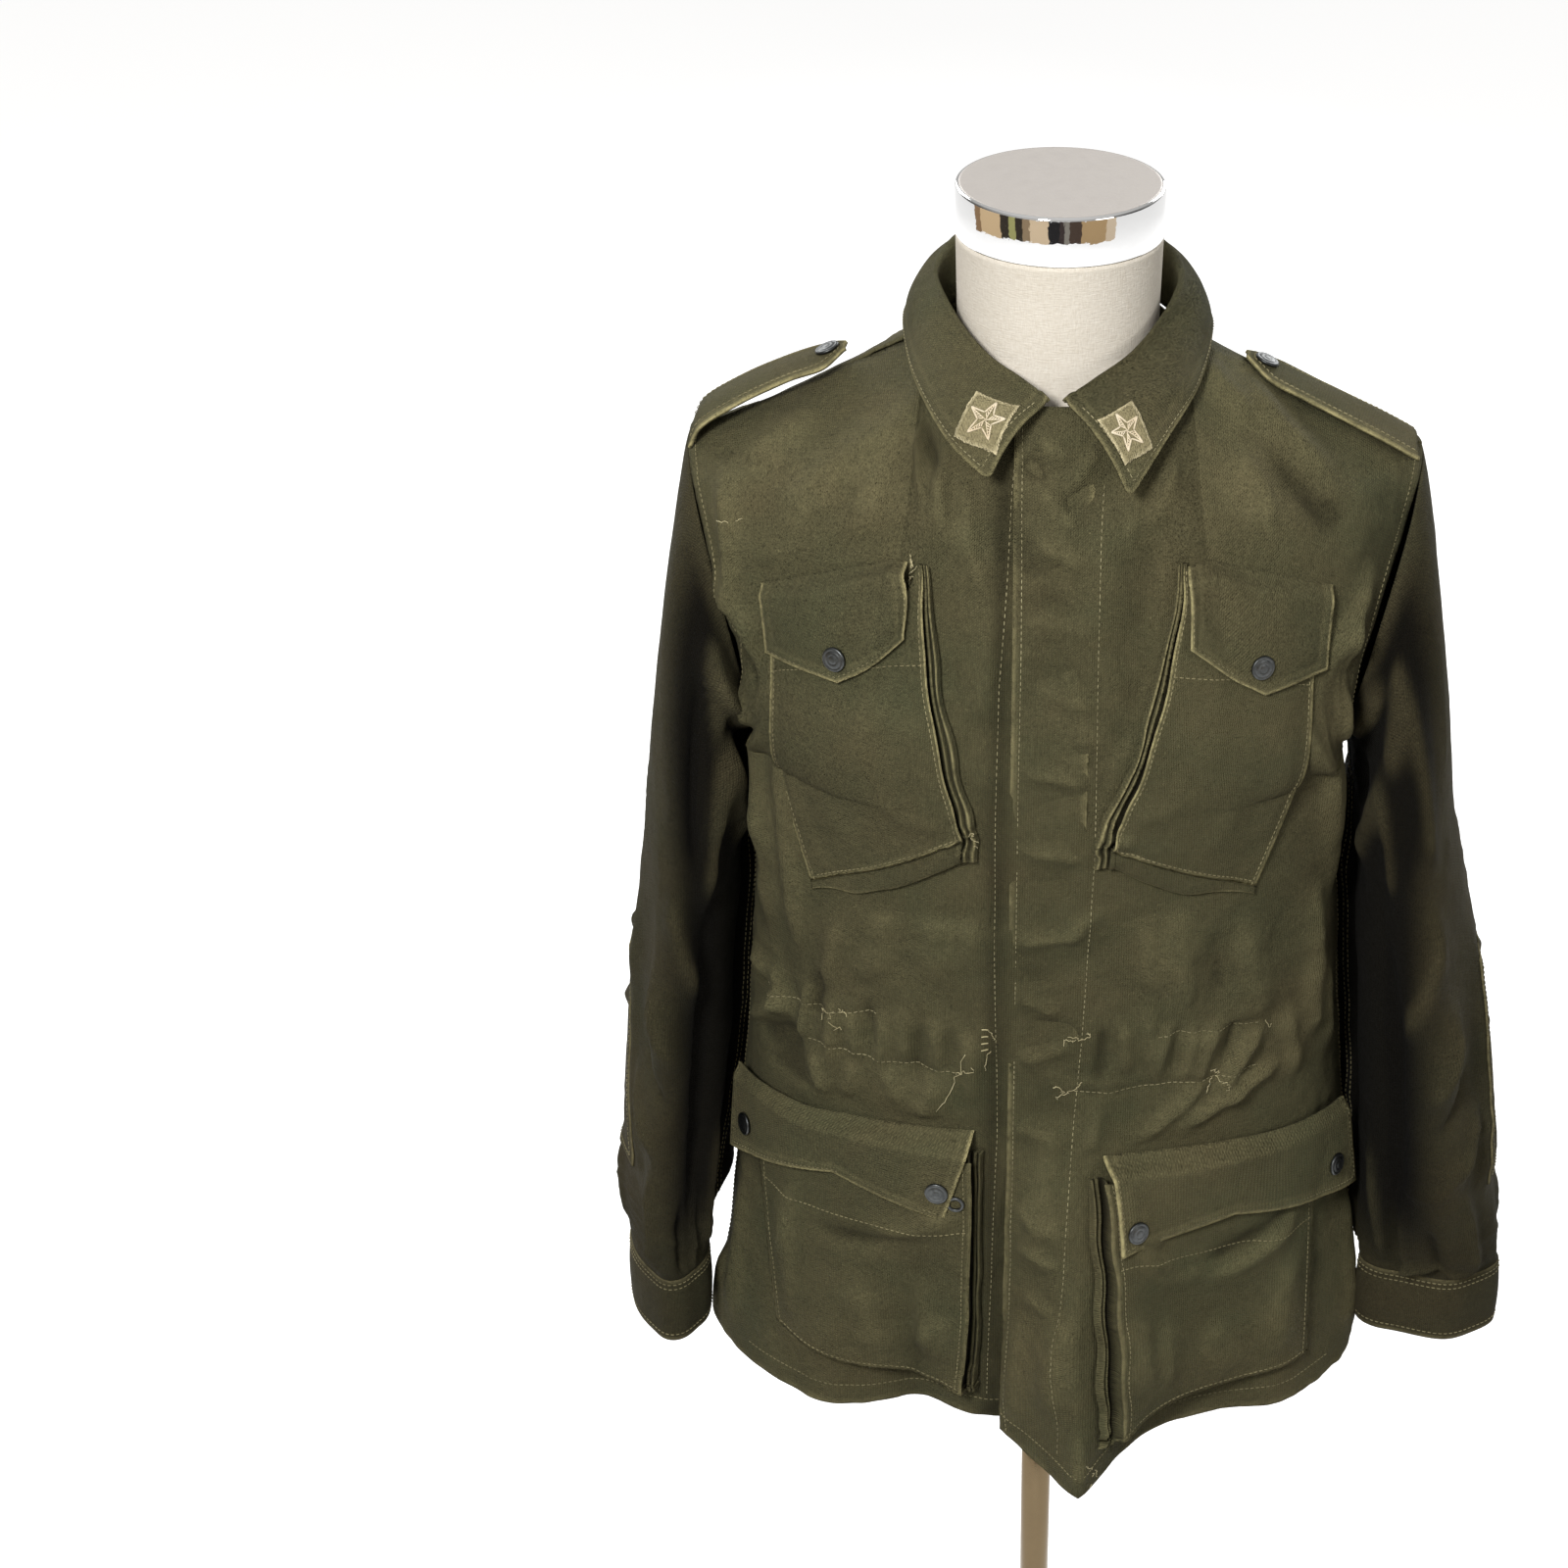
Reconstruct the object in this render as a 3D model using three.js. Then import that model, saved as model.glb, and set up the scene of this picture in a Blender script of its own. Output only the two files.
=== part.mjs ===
// A field jacket worn by a limbless dress form on its stand, as a three.js scene graph.
// Millimetres, +Z up, the floor at z = 0. The front faces -Y and the wearer's left is +X.
import * as THREE from "three";

// Heights above the floor
const HEM = 490;
const ARMPIT = 965;
const FRONT_NECK = 1192;
const BACK_NECK = 1214;

// Cloth
const CLOTH = 1.6; // wall of one layer with its turnings
const DOUBLE = 2.2; // wall of a doubled piece: collar, flaps, straps, cuffs
const SEAM_GAP = 0.2; // each panel stops this far short of a seam
const LAID_GAP = 0.9; // under an elbow patch, and under a flap's sewn edge
const OVERLAP = 24; // how far each front passes the centre line
const PLACKET = { lift: 2.6, from: 28, to: 62 }; // how far the left front lies outside the right one,
// and the distances across over which it comes back down

// The body of the jacket from the hem to the armpit: half width at the side seams, and depth to
// the front and to the back, at each height. A power of 2 is an ellipse, and more is squarer.
const LEVELS = [
  { up: 490, half: 213, front: 118, back: 122, power: 2.3 },
  { up: 560, half: 208, front: 121, back: 121, power: 2.25 },
  { up: 640, half: 201, front: 125, back: 118, power: 2.2 },
  { up: 715, half: 193, front: 128, back: 115, power: 2.2 },
  { up: 800, half: 187, front: 133, back: 118, power: 2.25 },
  { up: 880, half: 183, front: 139, back: 124, power: 2.45 },
  { up: 965, half: 181, front: 142, back: 128, power: 2.9 },
];

// The centre lines above the armpit: depth at each height.
const FRONT_LINE = [
  { up: 965, depth: 142 },
  { up: 1010, depth: 140 },
  { up: 1060, depth: 132 },
  { up: 1110, depth: 118 },
  { up: 1150, depth: 101 },
  { up: 1192, depth: 78 },
  { up: 1204, depth: 68 },
];
const BACK_LINE = [
  { up: 965, depth: 128 },
  { up: 1010, depth: 130 },
  { up: 1060, depth: 128 },
  { up: 1110, depth: 118 },
  { up: 1160, depth: 98 },
  { up: 1214, depth: 72 },
];

// The armhole is an upright oval, further out at its top.
const ARMHOLE = { low: ARMPIT, high: 1139, inner: 181, outer: 220, reach: 70, hollow: 6 };

// The neckline: half width and height at the shoulder seams, how far back these are, and the height
// at the centre front and behind.
const NECK = { half: 78, side: 1203, behind: 5, front: FRONT_NECK, back: BACK_NECK };
const CHEST_POWER = { low: 2.9, across: 2.6, depth: 1.05 }; // roundness of a section above the armpit
const CHEST_BLEND = 80; // height over which it changes
const NECK_SHARE = 4 / 7; // the part of a panel's top edge that is shoulder seam

// Soft folds in each panel. Across is measured from the centre line, towards the panel's own side.
// A fold runs between two places, and rises by one height at its start and another at its end. A
// power under 2 gives a sharper crest.
const LEFT_FOLDS = [
  { across: 20, up: 740, toAcross: 25, toUp: 470, width: 34, rise: 0, toRise: 82, power: 1.4 },
  { across: -26, up: 660, toAcross: -28, toUp: 470, width: 16, rise: 0, toRise: -11 },
  { across: 150, up: 700, toAcross: 165, toUp: 480, width: 26, rise: 0, toRise: 9 },
  { across: 60, up: 1160, toAcross: 150, toUp: 1050, width: 13, rise: 5, toRise: 0 },
  { across: 95, up: 905, toAcross: 60, toUp: 800, width: 20, rise: 0, toRise: 4 },
];
const RIGHT_FOLDS = [
  { across: 76, up: 680, toAcross: 80, toUp: 480, width: 26, rise: 0, toRise: -17 },
  { across: 130, up: 700, toAcross: 142, toUp: 480, width: 24, rise: 0, toRise: 7 },
  { across: 60, up: 1160, toAcross: 140, toUp: 1040, width: 13, rise: 5, toRise: 0 },
  { across: 120, up: 900, toAcross: 150, toUp: 740, width: 18, rise: 3, toRise: 4 },
];
const BACK_FOLDS = [
  { across: 70, up: 1130, toAcross: 96, toUp: 900, width: 24, rise: 7, toRise: 4 },
  { across: -78, up: 1120, toAcross: -92, toUp: 880, width: 24, rise: 7, toRise: 4 },
  { across: 40, up: 720, toAcross: 46, toUp: 480, width: 28, rise: 0, toRise: 14 },
  { across: -66, up: 700, toAcross: -76, toUp: 480, width: 30, rise: 0, toRise: 13 },
  { across: 132, up: 720, toAcross: 150, toUp: 480, width: 26, rise: 0, toRise: 10 },
  { across: -140, up: 700, toAcross: -158, toUp: 480, width: 26, rise: 0, toRise: 9 },
];

const ROWS_BELOW = 13; // rows of a panel's grid from the hem to the armpit
const ROWS_ABOVE = 10; // and from the armpit to the shoulder; the sleeve has twice as many round it
const COLUMNS = 11;

const FRONT = { sign: -1, depth: "front", line: FRONT_LINE, top: FRONT_NECK };
const BACK = { sign: 1, depth: "back", line: BACK_LINE, top: BACK_NECK };
const PANELS = {
  left: { face: FRONT, side: 1, folds: LEFT_FOLDS, placket: true },
  right: { face: FRONT, side: -1, folds: RIGHT_FOLDS, placket: false },
  back: { face: BACK, side: 1, folds: BACK_FOLDS, placket: false },
};

const { clamp, degToRad, lerp, smoothstep } = THREE.MathUtils;
const point = (x, y, z) => new THREE.Vector3(x, y, z);
const between = (a, b, t) => a.clone().lerp(b, t);
const range = (count) => Array.from({ length: count }, (_, i) => i);

// A column of a table at any key between its rows, on a smooth curve through them.
function along(rows, key, at, column) {
  let i = 0;
  while (i < rows.length - 2 && at > rows[i + 1][key]) i++;
  const span = rows[i + 1][key] - rows[i][key];
  const t = clamp((at - rows[i][key]) / span, 0, 1);
  const slope = (j) => {
    const a = rows[Math.max(j - 1, 0)];
    const b = rows[Math.min(j + 1, rows.length - 1)];
    return (b[column] - a[column]) / (b[key] - a[key]);
  };
  const rise = rows[i + 1][column] - rows[i][column];
  const ease = t * t * (3 - 2 * t);
  const early = t * (1 - t) * (1 - t) * slope(i) * span;
  const late = t * t * (t - 1) * slope(i + 1) * span;
  return rows[i][column] + rise * ease + early + late;
}

// The point at a share, 0 to 1, of a polyline's own length.
function onCurve(curve, share) {
  const reach = share * curve.length;
  let i = 1;
  while (i < curve.points.length - 1 && curve.far[i] < reach) i++;
  const t = (reach - curve.far[i - 1]) / (curve.far[i] - curve.far[i - 1]);
  return between(curve.points[i - 1], curve.points[i], t);
}

function measured(points) {
  const far = [0];
  for (let i = 1; i < points.length; i++) far.push(far[i - 1] + points[i].distanceTo(points[i - 1]));
  return { points, far, length: far[far.length - 1] };
}

// Half of the body's section at one height, from the side seam to the centre line.
const SECTION_STEPS = 48;
const sections = new Map();
function section(face, up) {
  const name = face.depth + up;
  if (!sections.has(name)) {
    const half = along(LEVELS, "up", up, "half");
    const depth = along(LEVELS, "up", up, face.depth);
    const power = along(LEVELS, "up", up, "power");
    const points = range(SECTION_STEPS + 1).map((i) => {
      const turn = (i / SECTION_STEPS) * (Math.PI / 2);
      const x = half * Math.max(Math.cos(turn), 0) ** (2 / power);
      const y = face.sign * depth * Math.sin(turn) ** (2 / power);
      return point(x, y, up);
    });
    sections.set(name, measured(points));
  }
  return sections.get(name);
}

// The armhole at a turn in radians: 0 at the armpit, forward for the first half turn, pi at the top.
function armhole(turn) {
  const { low, high, inner, outer, reach, hollow } = ARMHOLE;
  const risen = (1 - Math.cos(turn)) / 2;
  const x = lerp(inner, outer, risen) - hollow * Math.sin(turn) ** 2;
  return point(x, -reach * Math.sin(turn), lerp(low, high, risen));
}

// How far forward, or back, the cloth lies above the armpit, at a distance across and a height. Each
// section runs from the armhole or the shoulder seam to the centre line.
function crown(face, x, up) {
  const { low, high } = ARMHOLE;
  let edge;
  if (up < high) {
    edge = armhole(Math.acos(clamp(1 - (2 * (up - low)) / (high - low), -1, 1)));
    edge.y = Math.abs(edge.y);
  } else {
    const neckPoint = point(NECK.half, face.sign * NECK.behind, NECK.side);
    edge = between(armhole(Math.PI), neckPoint, clamp((up - high) / (NECK.side - high), 0, 1));
  }
  const blend = smoothstep(up, low, low + CHEST_BLEND);
  const power = lerp(CHEST_POWER.low, CHEST_POWER.across, blend);
  const root = lerp(CHEST_POWER.low, CHEST_POWER.depth, blend);
  const share = clamp(Math.abs(x) / edge.x, 0, 1);
  const centre = along(face.line, "up", up, "depth");
  return face.sign * (edge.y + (centre - edge.y) * (1 - share ** power) ** (1 / root));
}

// The neckline at a turn in degrees: 0 at the centre front, 90 at the wearer's left, 180 behind.
function neckline(turn) {
  const forward = Math.cos(degToRad(turn));
  const x = NECK.half * Math.sin(degToRad(turn));
  const up = lerp(NECK.side, forward > 0 ? NECK.front : NECK.back, Math.abs(forward));
  return point(x, crown(forward > 0 ? FRONT : BACK, x, up), up);
}

// A panel's top edge, from the shoulder's end along the shoulder seam, then round the neckline.
function topEdge(face, share) {
  if (share < NECK_SHARE) return between(armhole(Math.PI), neckline(90), share / NECK_SHARE);
  const centre = face === FRONT ? 0 : 180;
  return neckline(lerp(90, centre, (share - NECK_SHARE) / (1 - NECK_SHARE)));
}

// The plain body at a share of the way from the side to the centre line, and a height, which is
// measured on the centre line. Past the centre line it goes on to the other side.
function skin(face, share, up) {
  if (share > 1) {
    const other = skin(face, 2 - share, up);
    return other.setX(-other.x);
  }
  if (up <= ARMPIT) return onCurve(section(face, up), share);
  const risen = (up - ARMPIT) / (face.top - ARMPIT);
  const eased = risen * risen * (3 - 2 * risen);
  const edge = armhole(Math.PI * risen);
  const centre = point(0, 0, up);
  const lowSide = skin(face, 0, ARMPIT);
  const lowCentre = skin(face, 1, ARMPIT);
  edge.sub(between(lowSide, topEdge(face, 0), eased)).multiplyScalar(1 - share);
  centre.sub(between(lowCentre, topEdge(face, 1), eased)).multiplyScalar(share);
  const place = between(skin(face, share, ARMPIT), topEdge(face, share), eased).add(edge).add(centre);
  return place.setY(crown(face, place.x, place.z));
}

// How long a panel's row is from the side to the centre line.
const TOP_LENGTH = 283;
function rowLength(face, up) {
  if (up <= ARMPIT) return section(face, up).length;
  return lerp(section(face, ARMPIT).length, TOP_LENGTH, (up - ARMPIT) / (face.top - ARMPIT));
}

// The folds' rise at a place on a panel.
function foldRise(folds, across, up) {
  let rise = 0;
  for (const fold of folds) {
    const run = [fold.toAcross - fold.across, fold.toUp - fold.up];
    const long = Math.hypot(...run);
    const from = [across - fold.across, up - fold.up];
    const t = (from[0] * run[0] + from[1] * run[1]) / (long * long);
    const off = (from[0] * run[1] - from[1] * run[0]) / long;
    const ends = smoothstep(t, -0.1, 0.25) * (1 - smoothstep(t, 0.95, 1.25));
    const height = lerp(fold.rise, fold.toRise, clamp(t, 0, 1));
    rise += height * ends * Math.exp(-(Math.abs(off / fold.width) ** (fold.power ?? 2)));
  }
  return rise;
}

function across(panel, share, up) {
  return (1 - share) * rowLength(panel.face, up);
}

// A point of a panel, with its folds, at a share and a height.
function panelAt(panel, share, up) {
  const { face } = panel;
  const step = 0.02;
  const base = skin(face, share, up);
  const sideways = skin(face, share + step, up).sub(skin(face, Math.max(share - step, 0), up));
  const high = Math.min(up + 8, face.top);
  const upward = skin(face, share, high).sub(skin(face, share, Math.max(high - 16, HEM)));
  const out = upward.cross(sideways).multiplyScalar(-face.sign).normalize();
  const place = across(panel, share, up);
  let rise = foldRise(panel.folds, place, up);
  if (panel.placket) rise += PLACKET.lift * (1 - smoothstep(place, PLACKET.from, PLACKET.to));
  base.addScaledVector(out, rise);
  base.y += face.sign * SEAM_GAP;
  return base.setX(base.x * panel.side);
}

// A point this far off a panel's cloth, at a distance across from the centre line, and a height.
function laid(panel, place, up, lift) {
  const at = (a, z) => panelAt(panel, 1 - a / rowLength(panel.face, z), z);
  const step = 6;
  const high = Math.min(up + step, panel.face.top);
  const upward = at(place, high).sub(at(place, high - 2 * step));
  const sideways = at(place + step, up).sub(at(place - step, up));
  const out = upward.cross(sideways).normalize().multiplyScalar(panel.side * panel.face.sign);
  return at(place, up).addScaledVector(out, lift);
}

// Geometry from shared corners. Faces are turned round if they would face inwards.
function closed(corners, faces) {
  let volume = 0;
  for (const [a, b, c] of faces) volume += corners[a].dot(corners[b].clone().cross(corners[c]));
  const facing = volume < 0 ? faces.map(([a, b, c]) => [a, c, b]) : faces;
  const geometry = new THREE.BufferGeometry().setFromPoints(corners);
  geometry.setIndex(facing.flat());
  geometry.computeVertexNormals();
  return geometry;
}

// A sheet of cloth as a closed wall: a grid of outer points, and the same points moved in by the
// thickness. Ring is true where each row runs round and meets itself. Out is 1 or -1, whichever
// makes the grid's normals point out. Mitre may change a normal, such as at a seam.
function wall(grid, thickness, out, { ring = false, mitre = null } = {}) {
  const rows = grid.length;
  const columns = grid[0].length;
  const column = (j) => (ring ? (j + columns) % columns : clamp(j, 0, columns - 1));
  const row = (i) => clamp(i, 0, rows - 1);
  const inner = grid.map((line, i) =>
    line.map((corner, j) => {
      const upward = grid[row(i + 1)][j].clone().sub(grid[row(i - 1)][j]);
      const sideways = grid[i][column(j + 1)].clone().sub(grid[i][column(j - 1)]);
      const normal = upward.cross(sideways).multiplyScalar(out).normalize();
      if (mitre) mitre(normal, i, j);
      return corner.clone().addScaledVector(normal.normalize(), -thickness);
    }),
  );
  const corners = [...grid.flat(), ...inner.flat()];
  const at = (i, j, layer) => layer * rows * columns + i * columns + column(j);
  const faces = [];
  const quad = (a, b, c, d) => faces.push([a, b, c], [a, c, d]);
  for (const i of range(rows - 1)) {
    for (const j of range(ring ? columns : columns - 1)) {
      quad(at(i, j, 0), at(i, j + 1, 0), at(i + 1, j + 1, 0), at(i + 1, j, 0));
      quad(at(i, j, 1), at(i + 1, j, 1), at(i + 1, j + 1, 1), at(i, j + 1, 1));
    }
    if (ring) continue;
    quad(at(i, 0, 0), at(i + 1, 0, 0), at(i + 1, 0, 1), at(i, 0, 1));
    const last = columns - 1;
    quad(at(i, last, 0), at(i, last, 1), at(i + 1, last, 1), at(i + 1, last, 0));
  }
  for (const j of range(ring ? columns : columns - 1)) {
    quad(at(0, j, 0), at(0, j, 1), at(0, j + 1, 1), at(0, j + 1, 0));
    const last = rows - 1;
    quad(at(last, j, 0), at(last, j + 1, 0), at(last, j + 1, 1), at(last, j, 1));
  }
  return closed(corners, faces);
}

// A solid through rings of points, with flat ends.
function ringSolid(rings) {
  const count = rings[0].length;
  const middle = (ring) =>
    ring.reduce((sum, p) => sum.add(p), point(0, 0, 0)).multiplyScalar(1 / count);
  const corners = [...rings.flat(), middle(rings[0]), middle(rings.at(-1))];
  const faces = [];
  for (const j of range(count)) {
    const next = (j + 1) % count;
    for (const i of range(rings.length - 1)) {
      const [a, b] = [i * count, (i + 1) * count];
      faces.push([a + j, a + next, b + next], [a + j, b + next, b + j]);
    }
    const last = (rings.length - 1) * count;
    faces.push([corners.length - 2, next, j], [corners.length - 1, last + j, last + next]);
  }
  return closed(corners, faces);
}

const jacket = new THREE.Group();
const stand = new THREE.Group();

function add(group, name, geometry, look) {
  const mesh = new THREE.Mesh(geometry, new THREE.MeshStandardMaterial(look));
  mesh.name = name;
  group.add(mesh);
  return mesh;
}

const OLIVE = { color: 0x545038, roughness: 0.9, metalness: 0 };
const PALE_OLIVE = { color: 0x8a8460, roughness: 0.9, metalness: 0 };
const GUNMETAL = { color: 0x4a4d52, roughness: 0.4, metalness: 0.9 };
const LINEN = { color: 0xd9d2c4, roughness: 0.95, metalness: 0 };
const CHROME = { color: 0xd8d8d8, roughness: 0.08, metalness: 1 };
const POLE_METAL = { color: 0xb9a98c, roughness: 0.2, metalness: 1 };

// Front and back panels

function heights(face) {
  const below = range(ROWS_BELOW).map((i) => lerp(HEM, ARMPIT, i / ROWS_BELOW));
  const above = range(ROWS_ABOVE + 1).map((i) => lerp(ARMPIT, face.top, i / ROWS_ABOVE));
  return [...below, ...above];
}

// At the side and shoulder seams the wall's edge faces straight across to the other panel.
function seamMitre(shares) {
  const rows = ROWS_BELOW + ROWS_ABOVE;
  return (normal, i, j) => {
    const fromSide = Math.min(shares[j], 2 - shares[j]);
    const sideSeam = fromSide < 0.001 && i <= ROWS_BELOW;
    const shoulderSeam = i === rows && fromSide < NECK_SHARE + 0.001;
    if (sideSeam || shoulderSeam) normal.y = 0;
  };
}

function frontPanel(name, panel) {
  const body = range(COLUMNS + 1).map((j) => j / COLUMNS);
  const grid = heights(panel.face).map((up) => {
    const past = 1 + OVERLAP / rowLength(panel.face, up);
    return [...body, past].map((share) => panelAt(panel, share, up));
  });
  const mitre = seamMitre([...body, 1 + 1 / COLUMNS]);
  add(jacket, name, wall(grid, CLOTH, panel.side, { mitre }), OLIVE);
}
frontPanel("front_left", PANELS.left);
frontPanel("front_right", PANELS.right);

function backPanel() {
  const shares = range(2 * COLUMNS + 1).map((j) => j / COLUMNS);
  const grid = heights(BACK).map((up) => shares.map((share) => panelAt(PANELS.back, share, up)));
  add(jacket, "back", wall(grid, CLOTH, -1, { mitre: seamMitre(shares) }), OLIVE);
}
backPanel();

// Sleeves. Each section is an oval: height of its middle, centre, half width across the body, half
// depth, and its turn about the vertical in degrees.
const LEFT_SLEEVE = [
  { down: 0, up: 905, x: 224, y: -3, half: 31, depth: 84, turn: 0 },
  { down: 1, up: 820, x: 235, y: -7, half: 37, depth: 80, turn: -3 },
  { down: 2, up: 735, x: 245, y: -14, half: 41, depth: 73, turn: -5 },
  { down: 3, up: 655, x: 252, y: -22, half: 44, depth: 62, turn: -7 },
  { down: 4, up: 598, x: 256, y: -29, half: 46, depth: 44, turn: -5 },
  { down: 5, up: 566, x: 259, y: -32, half: 46, depth: 24, turn: 0 },
];
const RIGHT_SLEEVE = [
  { down: 0, up: 905, x: 222, y: -3, half: 30, depth: 84, turn: 0 },
  { down: 1, up: 820, x: 229, y: -7, half: 32, depth: 80, turn: -3 },
  { down: 2, up: 735, x: 236, y: -12, half: 33, depth: 74, turn: -5 },
  { down: 3, up: 655, x: 243, y: -18, half: 30, depth: 68, turn: -8 },
  { down: 4, up: 598, x: 247, y: -24, half: 27, depth: 56, turn: -12 },
  { down: 5, up: 566, x: 247, y: -28, half: 25, depth: 46, turn: -14 },
];
const AROUND = 2 * ROWS_ABOVE; // points round a sleeve, one at each row of the armhole
const CAP_ROWS = 6; // rows from the armhole to the first section
const SLEEVE_ROWS = 12; // rows from there to the cuff
const CUFF_DEEP = 48;
// The elbow patch covers these rows and columns of the sleeve's grid.
const PATCH = { rows: [3, 4, 5, 6, 7, 8], turns: [9, 10, 11, 12, 13, 14], thick: 1.2 };
const ARMHOLE_GAP = 1.3; // the sleeve starts this far outside the panels' edge
const TOP_GAP = 2.4; // and this far at the shoulder's end, where it turns down
const HEAD_SLACK = 0.5; // how full the sleeve's head is
// The way the head leaves the armhole: out and down at the armpit, at the top, and more at the sides.
const HEAD_LEAVE = { lowOut: 0.5, lowDown: 0.85, topOut: 0.3, topDown: 1, sideOut: 0.9, sideUp: 0.55 };

// A point of the hanging part of a sleeve, on the wearer's left. Turn 0 is next to the body.
function hanging(table, down, turn) {
  const get = (column) => along(table, "down", down, column);
  const x = -get("half") * Math.cos(turn);
  const y = -get("depth") * Math.sin(turn);
  const twist = degToRad(get("turn"));
  const across = x * Math.cos(twist) - y * Math.sin(twist);
  const deep = x * Math.sin(twist) + y * Math.cos(twist);
  return point(get("x") + across, get("y") + deep, get("up"));
}

// A point of the sleeve's head, between the armhole and the first hanging section.
function sleeveHead(table, t, turn) {
  const start = armhole(turn);
  const end = hanging(table, 0, turn);
  const long = start.distanceTo(end);
  const top = (1 - Math.cos(turn)) / 2;
  const beside = Math.sin(turn) ** 2;
  const { lowOut, lowDown, topOut, topDown, sideOut, sideUp } = HEAD_LEAVE;
  const outward = lerp(lowOut, topOut, top) + sideOut * beside;
  const leave = point(outward, 0, sideUp * beside - lerp(lowDown, topDown, top)).normalize();
  start.addScaledVector(leave, lerp(ARMHOLE_GAP, TOP_GAP, top ** 6));
  const arrive = point(0.12, 0, -1).normalize();
  const ease = t * t * (3 - 2 * t);
  return between(start, end, ease)
    .addScaledVector(leave, HEAD_SLACK * long * t * (1 - t) * (1 - t))
    .addScaledVector(arrive, HEAD_SLACK * long * t * t * (t - 1));
}

// Long folds down a sleeve: where round it they lie, how wide, how high and how far down.
const SLEEVE_FOLDS = [
  { turn: 105, width: 20, rise: 7, from: 0.6, to: 5.6 },
  { turn: 62, width: 17, rise: -5, from: 1.0, to: 5.4 },
  { turn: 150, width: 18, rise: -4, from: 1.5, to: 4.8 },
  { turn: 245, width: 22, rise: 6, from: 0.5, to: 4.6 },
  { turn: 322, width: 24, rise: 17, from: 0.5, to: 4.9 },
];

function sleevePoint(table, down, turn, lift) {
  let rise = lift;
  for (const fold of SLEEVE_FOLDS) {
    const off = (turn * 180) / Math.PI - fold.turn;
    const begun = smoothstep(down, fold.from - 0.6, fold.from + 0.6);
    const ends = begun * (1 - smoothstep(down, fold.to - 1, fold.to));
    rise += fold.rise * ends * Math.exp(-((off / fold.width) ** 2));
  }
  const step = 0.08;
  const round = hanging(table, down, turn + step).sub(hanging(table, down, turn - step));
  const out = round.cross(point(0, 0, 1)).normalize();
  return hanging(table, down, turn).addScaledVector(out, rise);
}

function sleeve(name, table, side) {
  const turns = range(AROUND).map((j) => (j / AROUND) * 2 * Math.PI);
  const head = range(CAP_ROWS).map((i) => turns.map((turn) => sleeveHead(table, i / CAP_ROWS, turn)));
  const lowest = table.length - 1;
  const arm = range(SLEEVE_ROWS + 1).map((i) =>
    turns.map((turn) => sleevePoint(table, (i / SLEEVE_ROWS) * lowest, turn, 0)),
  );
  const grid = [...head, ...arm].map((line) => line.map((p) => p.setX(p.x * side)));
  add(jacket, "sleeve_" + name, wall(grid, CLOTH, side, { ring: true }), OLIVE);
  const low = table[lowest];
  const cuffRow = (drop, lift) =>
    turns.map((turn) => {
      const p = sleevePoint(table, lowest, turn, lift);
      return point(p.x * side, p.y, low.up - drop);
    });
  const cuff = [cuffRow(0.4, 0.4), cuffRow(CUFF_DEEP / 2, 1.2), cuffRow(CUFF_DEEP, 0.8)];
  add(jacket, "cuff_" + name, wall(cuff, DOUBLE, side, { ring: true }), OLIVE);
  const patch = PATCH.rows.map((row) =>
    PATCH.turns.map((turn) => {
      const down = (row / SLEEVE_ROWS) * lowest;
      const p = sleevePoint(table, down, (turn / AROUND) * 2 * Math.PI, LAID_GAP + PATCH.thick);
      return p.setX(p.x * side);
    }),
  );
  add(jacket, "elbow_patch_" + name, wall(patch, PATCH.thick, side), OLIVE);
}
sleeve("left", LEFT_SLEEVE, 1);
sleeve("right", RIGHT_SLEEVE, -1);

// Collar: one doubled piece that stands up from the neckline, rolls over and falls outside. Each row
// gives the turn round the neckline, the top of the roll, and the outer edge of the fall.
const COLLAR_LEFT = [
  { at: 0, turn: 7, rollX: 5.4, rollY: -84, rollZ: 1202, edgeX: 43, edgeY: -127, edgeZ: 1157 },
  { at: 1, turn: 24, rollX: 24, rollY: -74, rollZ: 1208, edgeX: 62, edgeY: -100, edgeZ: 1179 },
  { at: 2, turn: 48, rollX: 47, rollY: -54, rollZ: 1220, edgeX: 82, edgeY: -55, edgeZ: 1195 },
  { at: 3, turn: 80, rollX: 69, rollY: -14, rollZ: 1235, edgeX: 91, edgeY: -6, edgeZ: 1204 },
  { at: 4, turn: 110, rollX: 72, rollY: 22, rollZ: 1243, edgeX: 90, edgeY: 34, edgeZ: 1206 },
  { at: 5, turn: 142, rollX: 51, rollY: 60, rollZ: 1250, edgeX: 68, edgeY: 76, edgeZ: 1206 },
  { at: 6, turn: 180, rollX: 0, rollY: 75, rollZ: 1253, edgeX: 0, edgeY: 97, edgeZ: 1206 },
];
const COLLAR_RIGHT = COLLAR_LEFT.map((row) => ({ ...row }));
Object.assign(COLLAR_RIGHT[0], { edgeX: 38, edgeY: -124, edgeZ: 1165 });
const COLLAR_STEPS = 18; // columns from the front end to the middle of the back
const ROLL = 3.4; // half the width of the roll at its top
const BULGE = { out: 3, up: 4.5 }; // how far the fall's middle curves out
const STAND_LIFT = { front: 3.4, behind: 0.8, until: 45 }; // from the neckline's edge up to the stand

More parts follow.
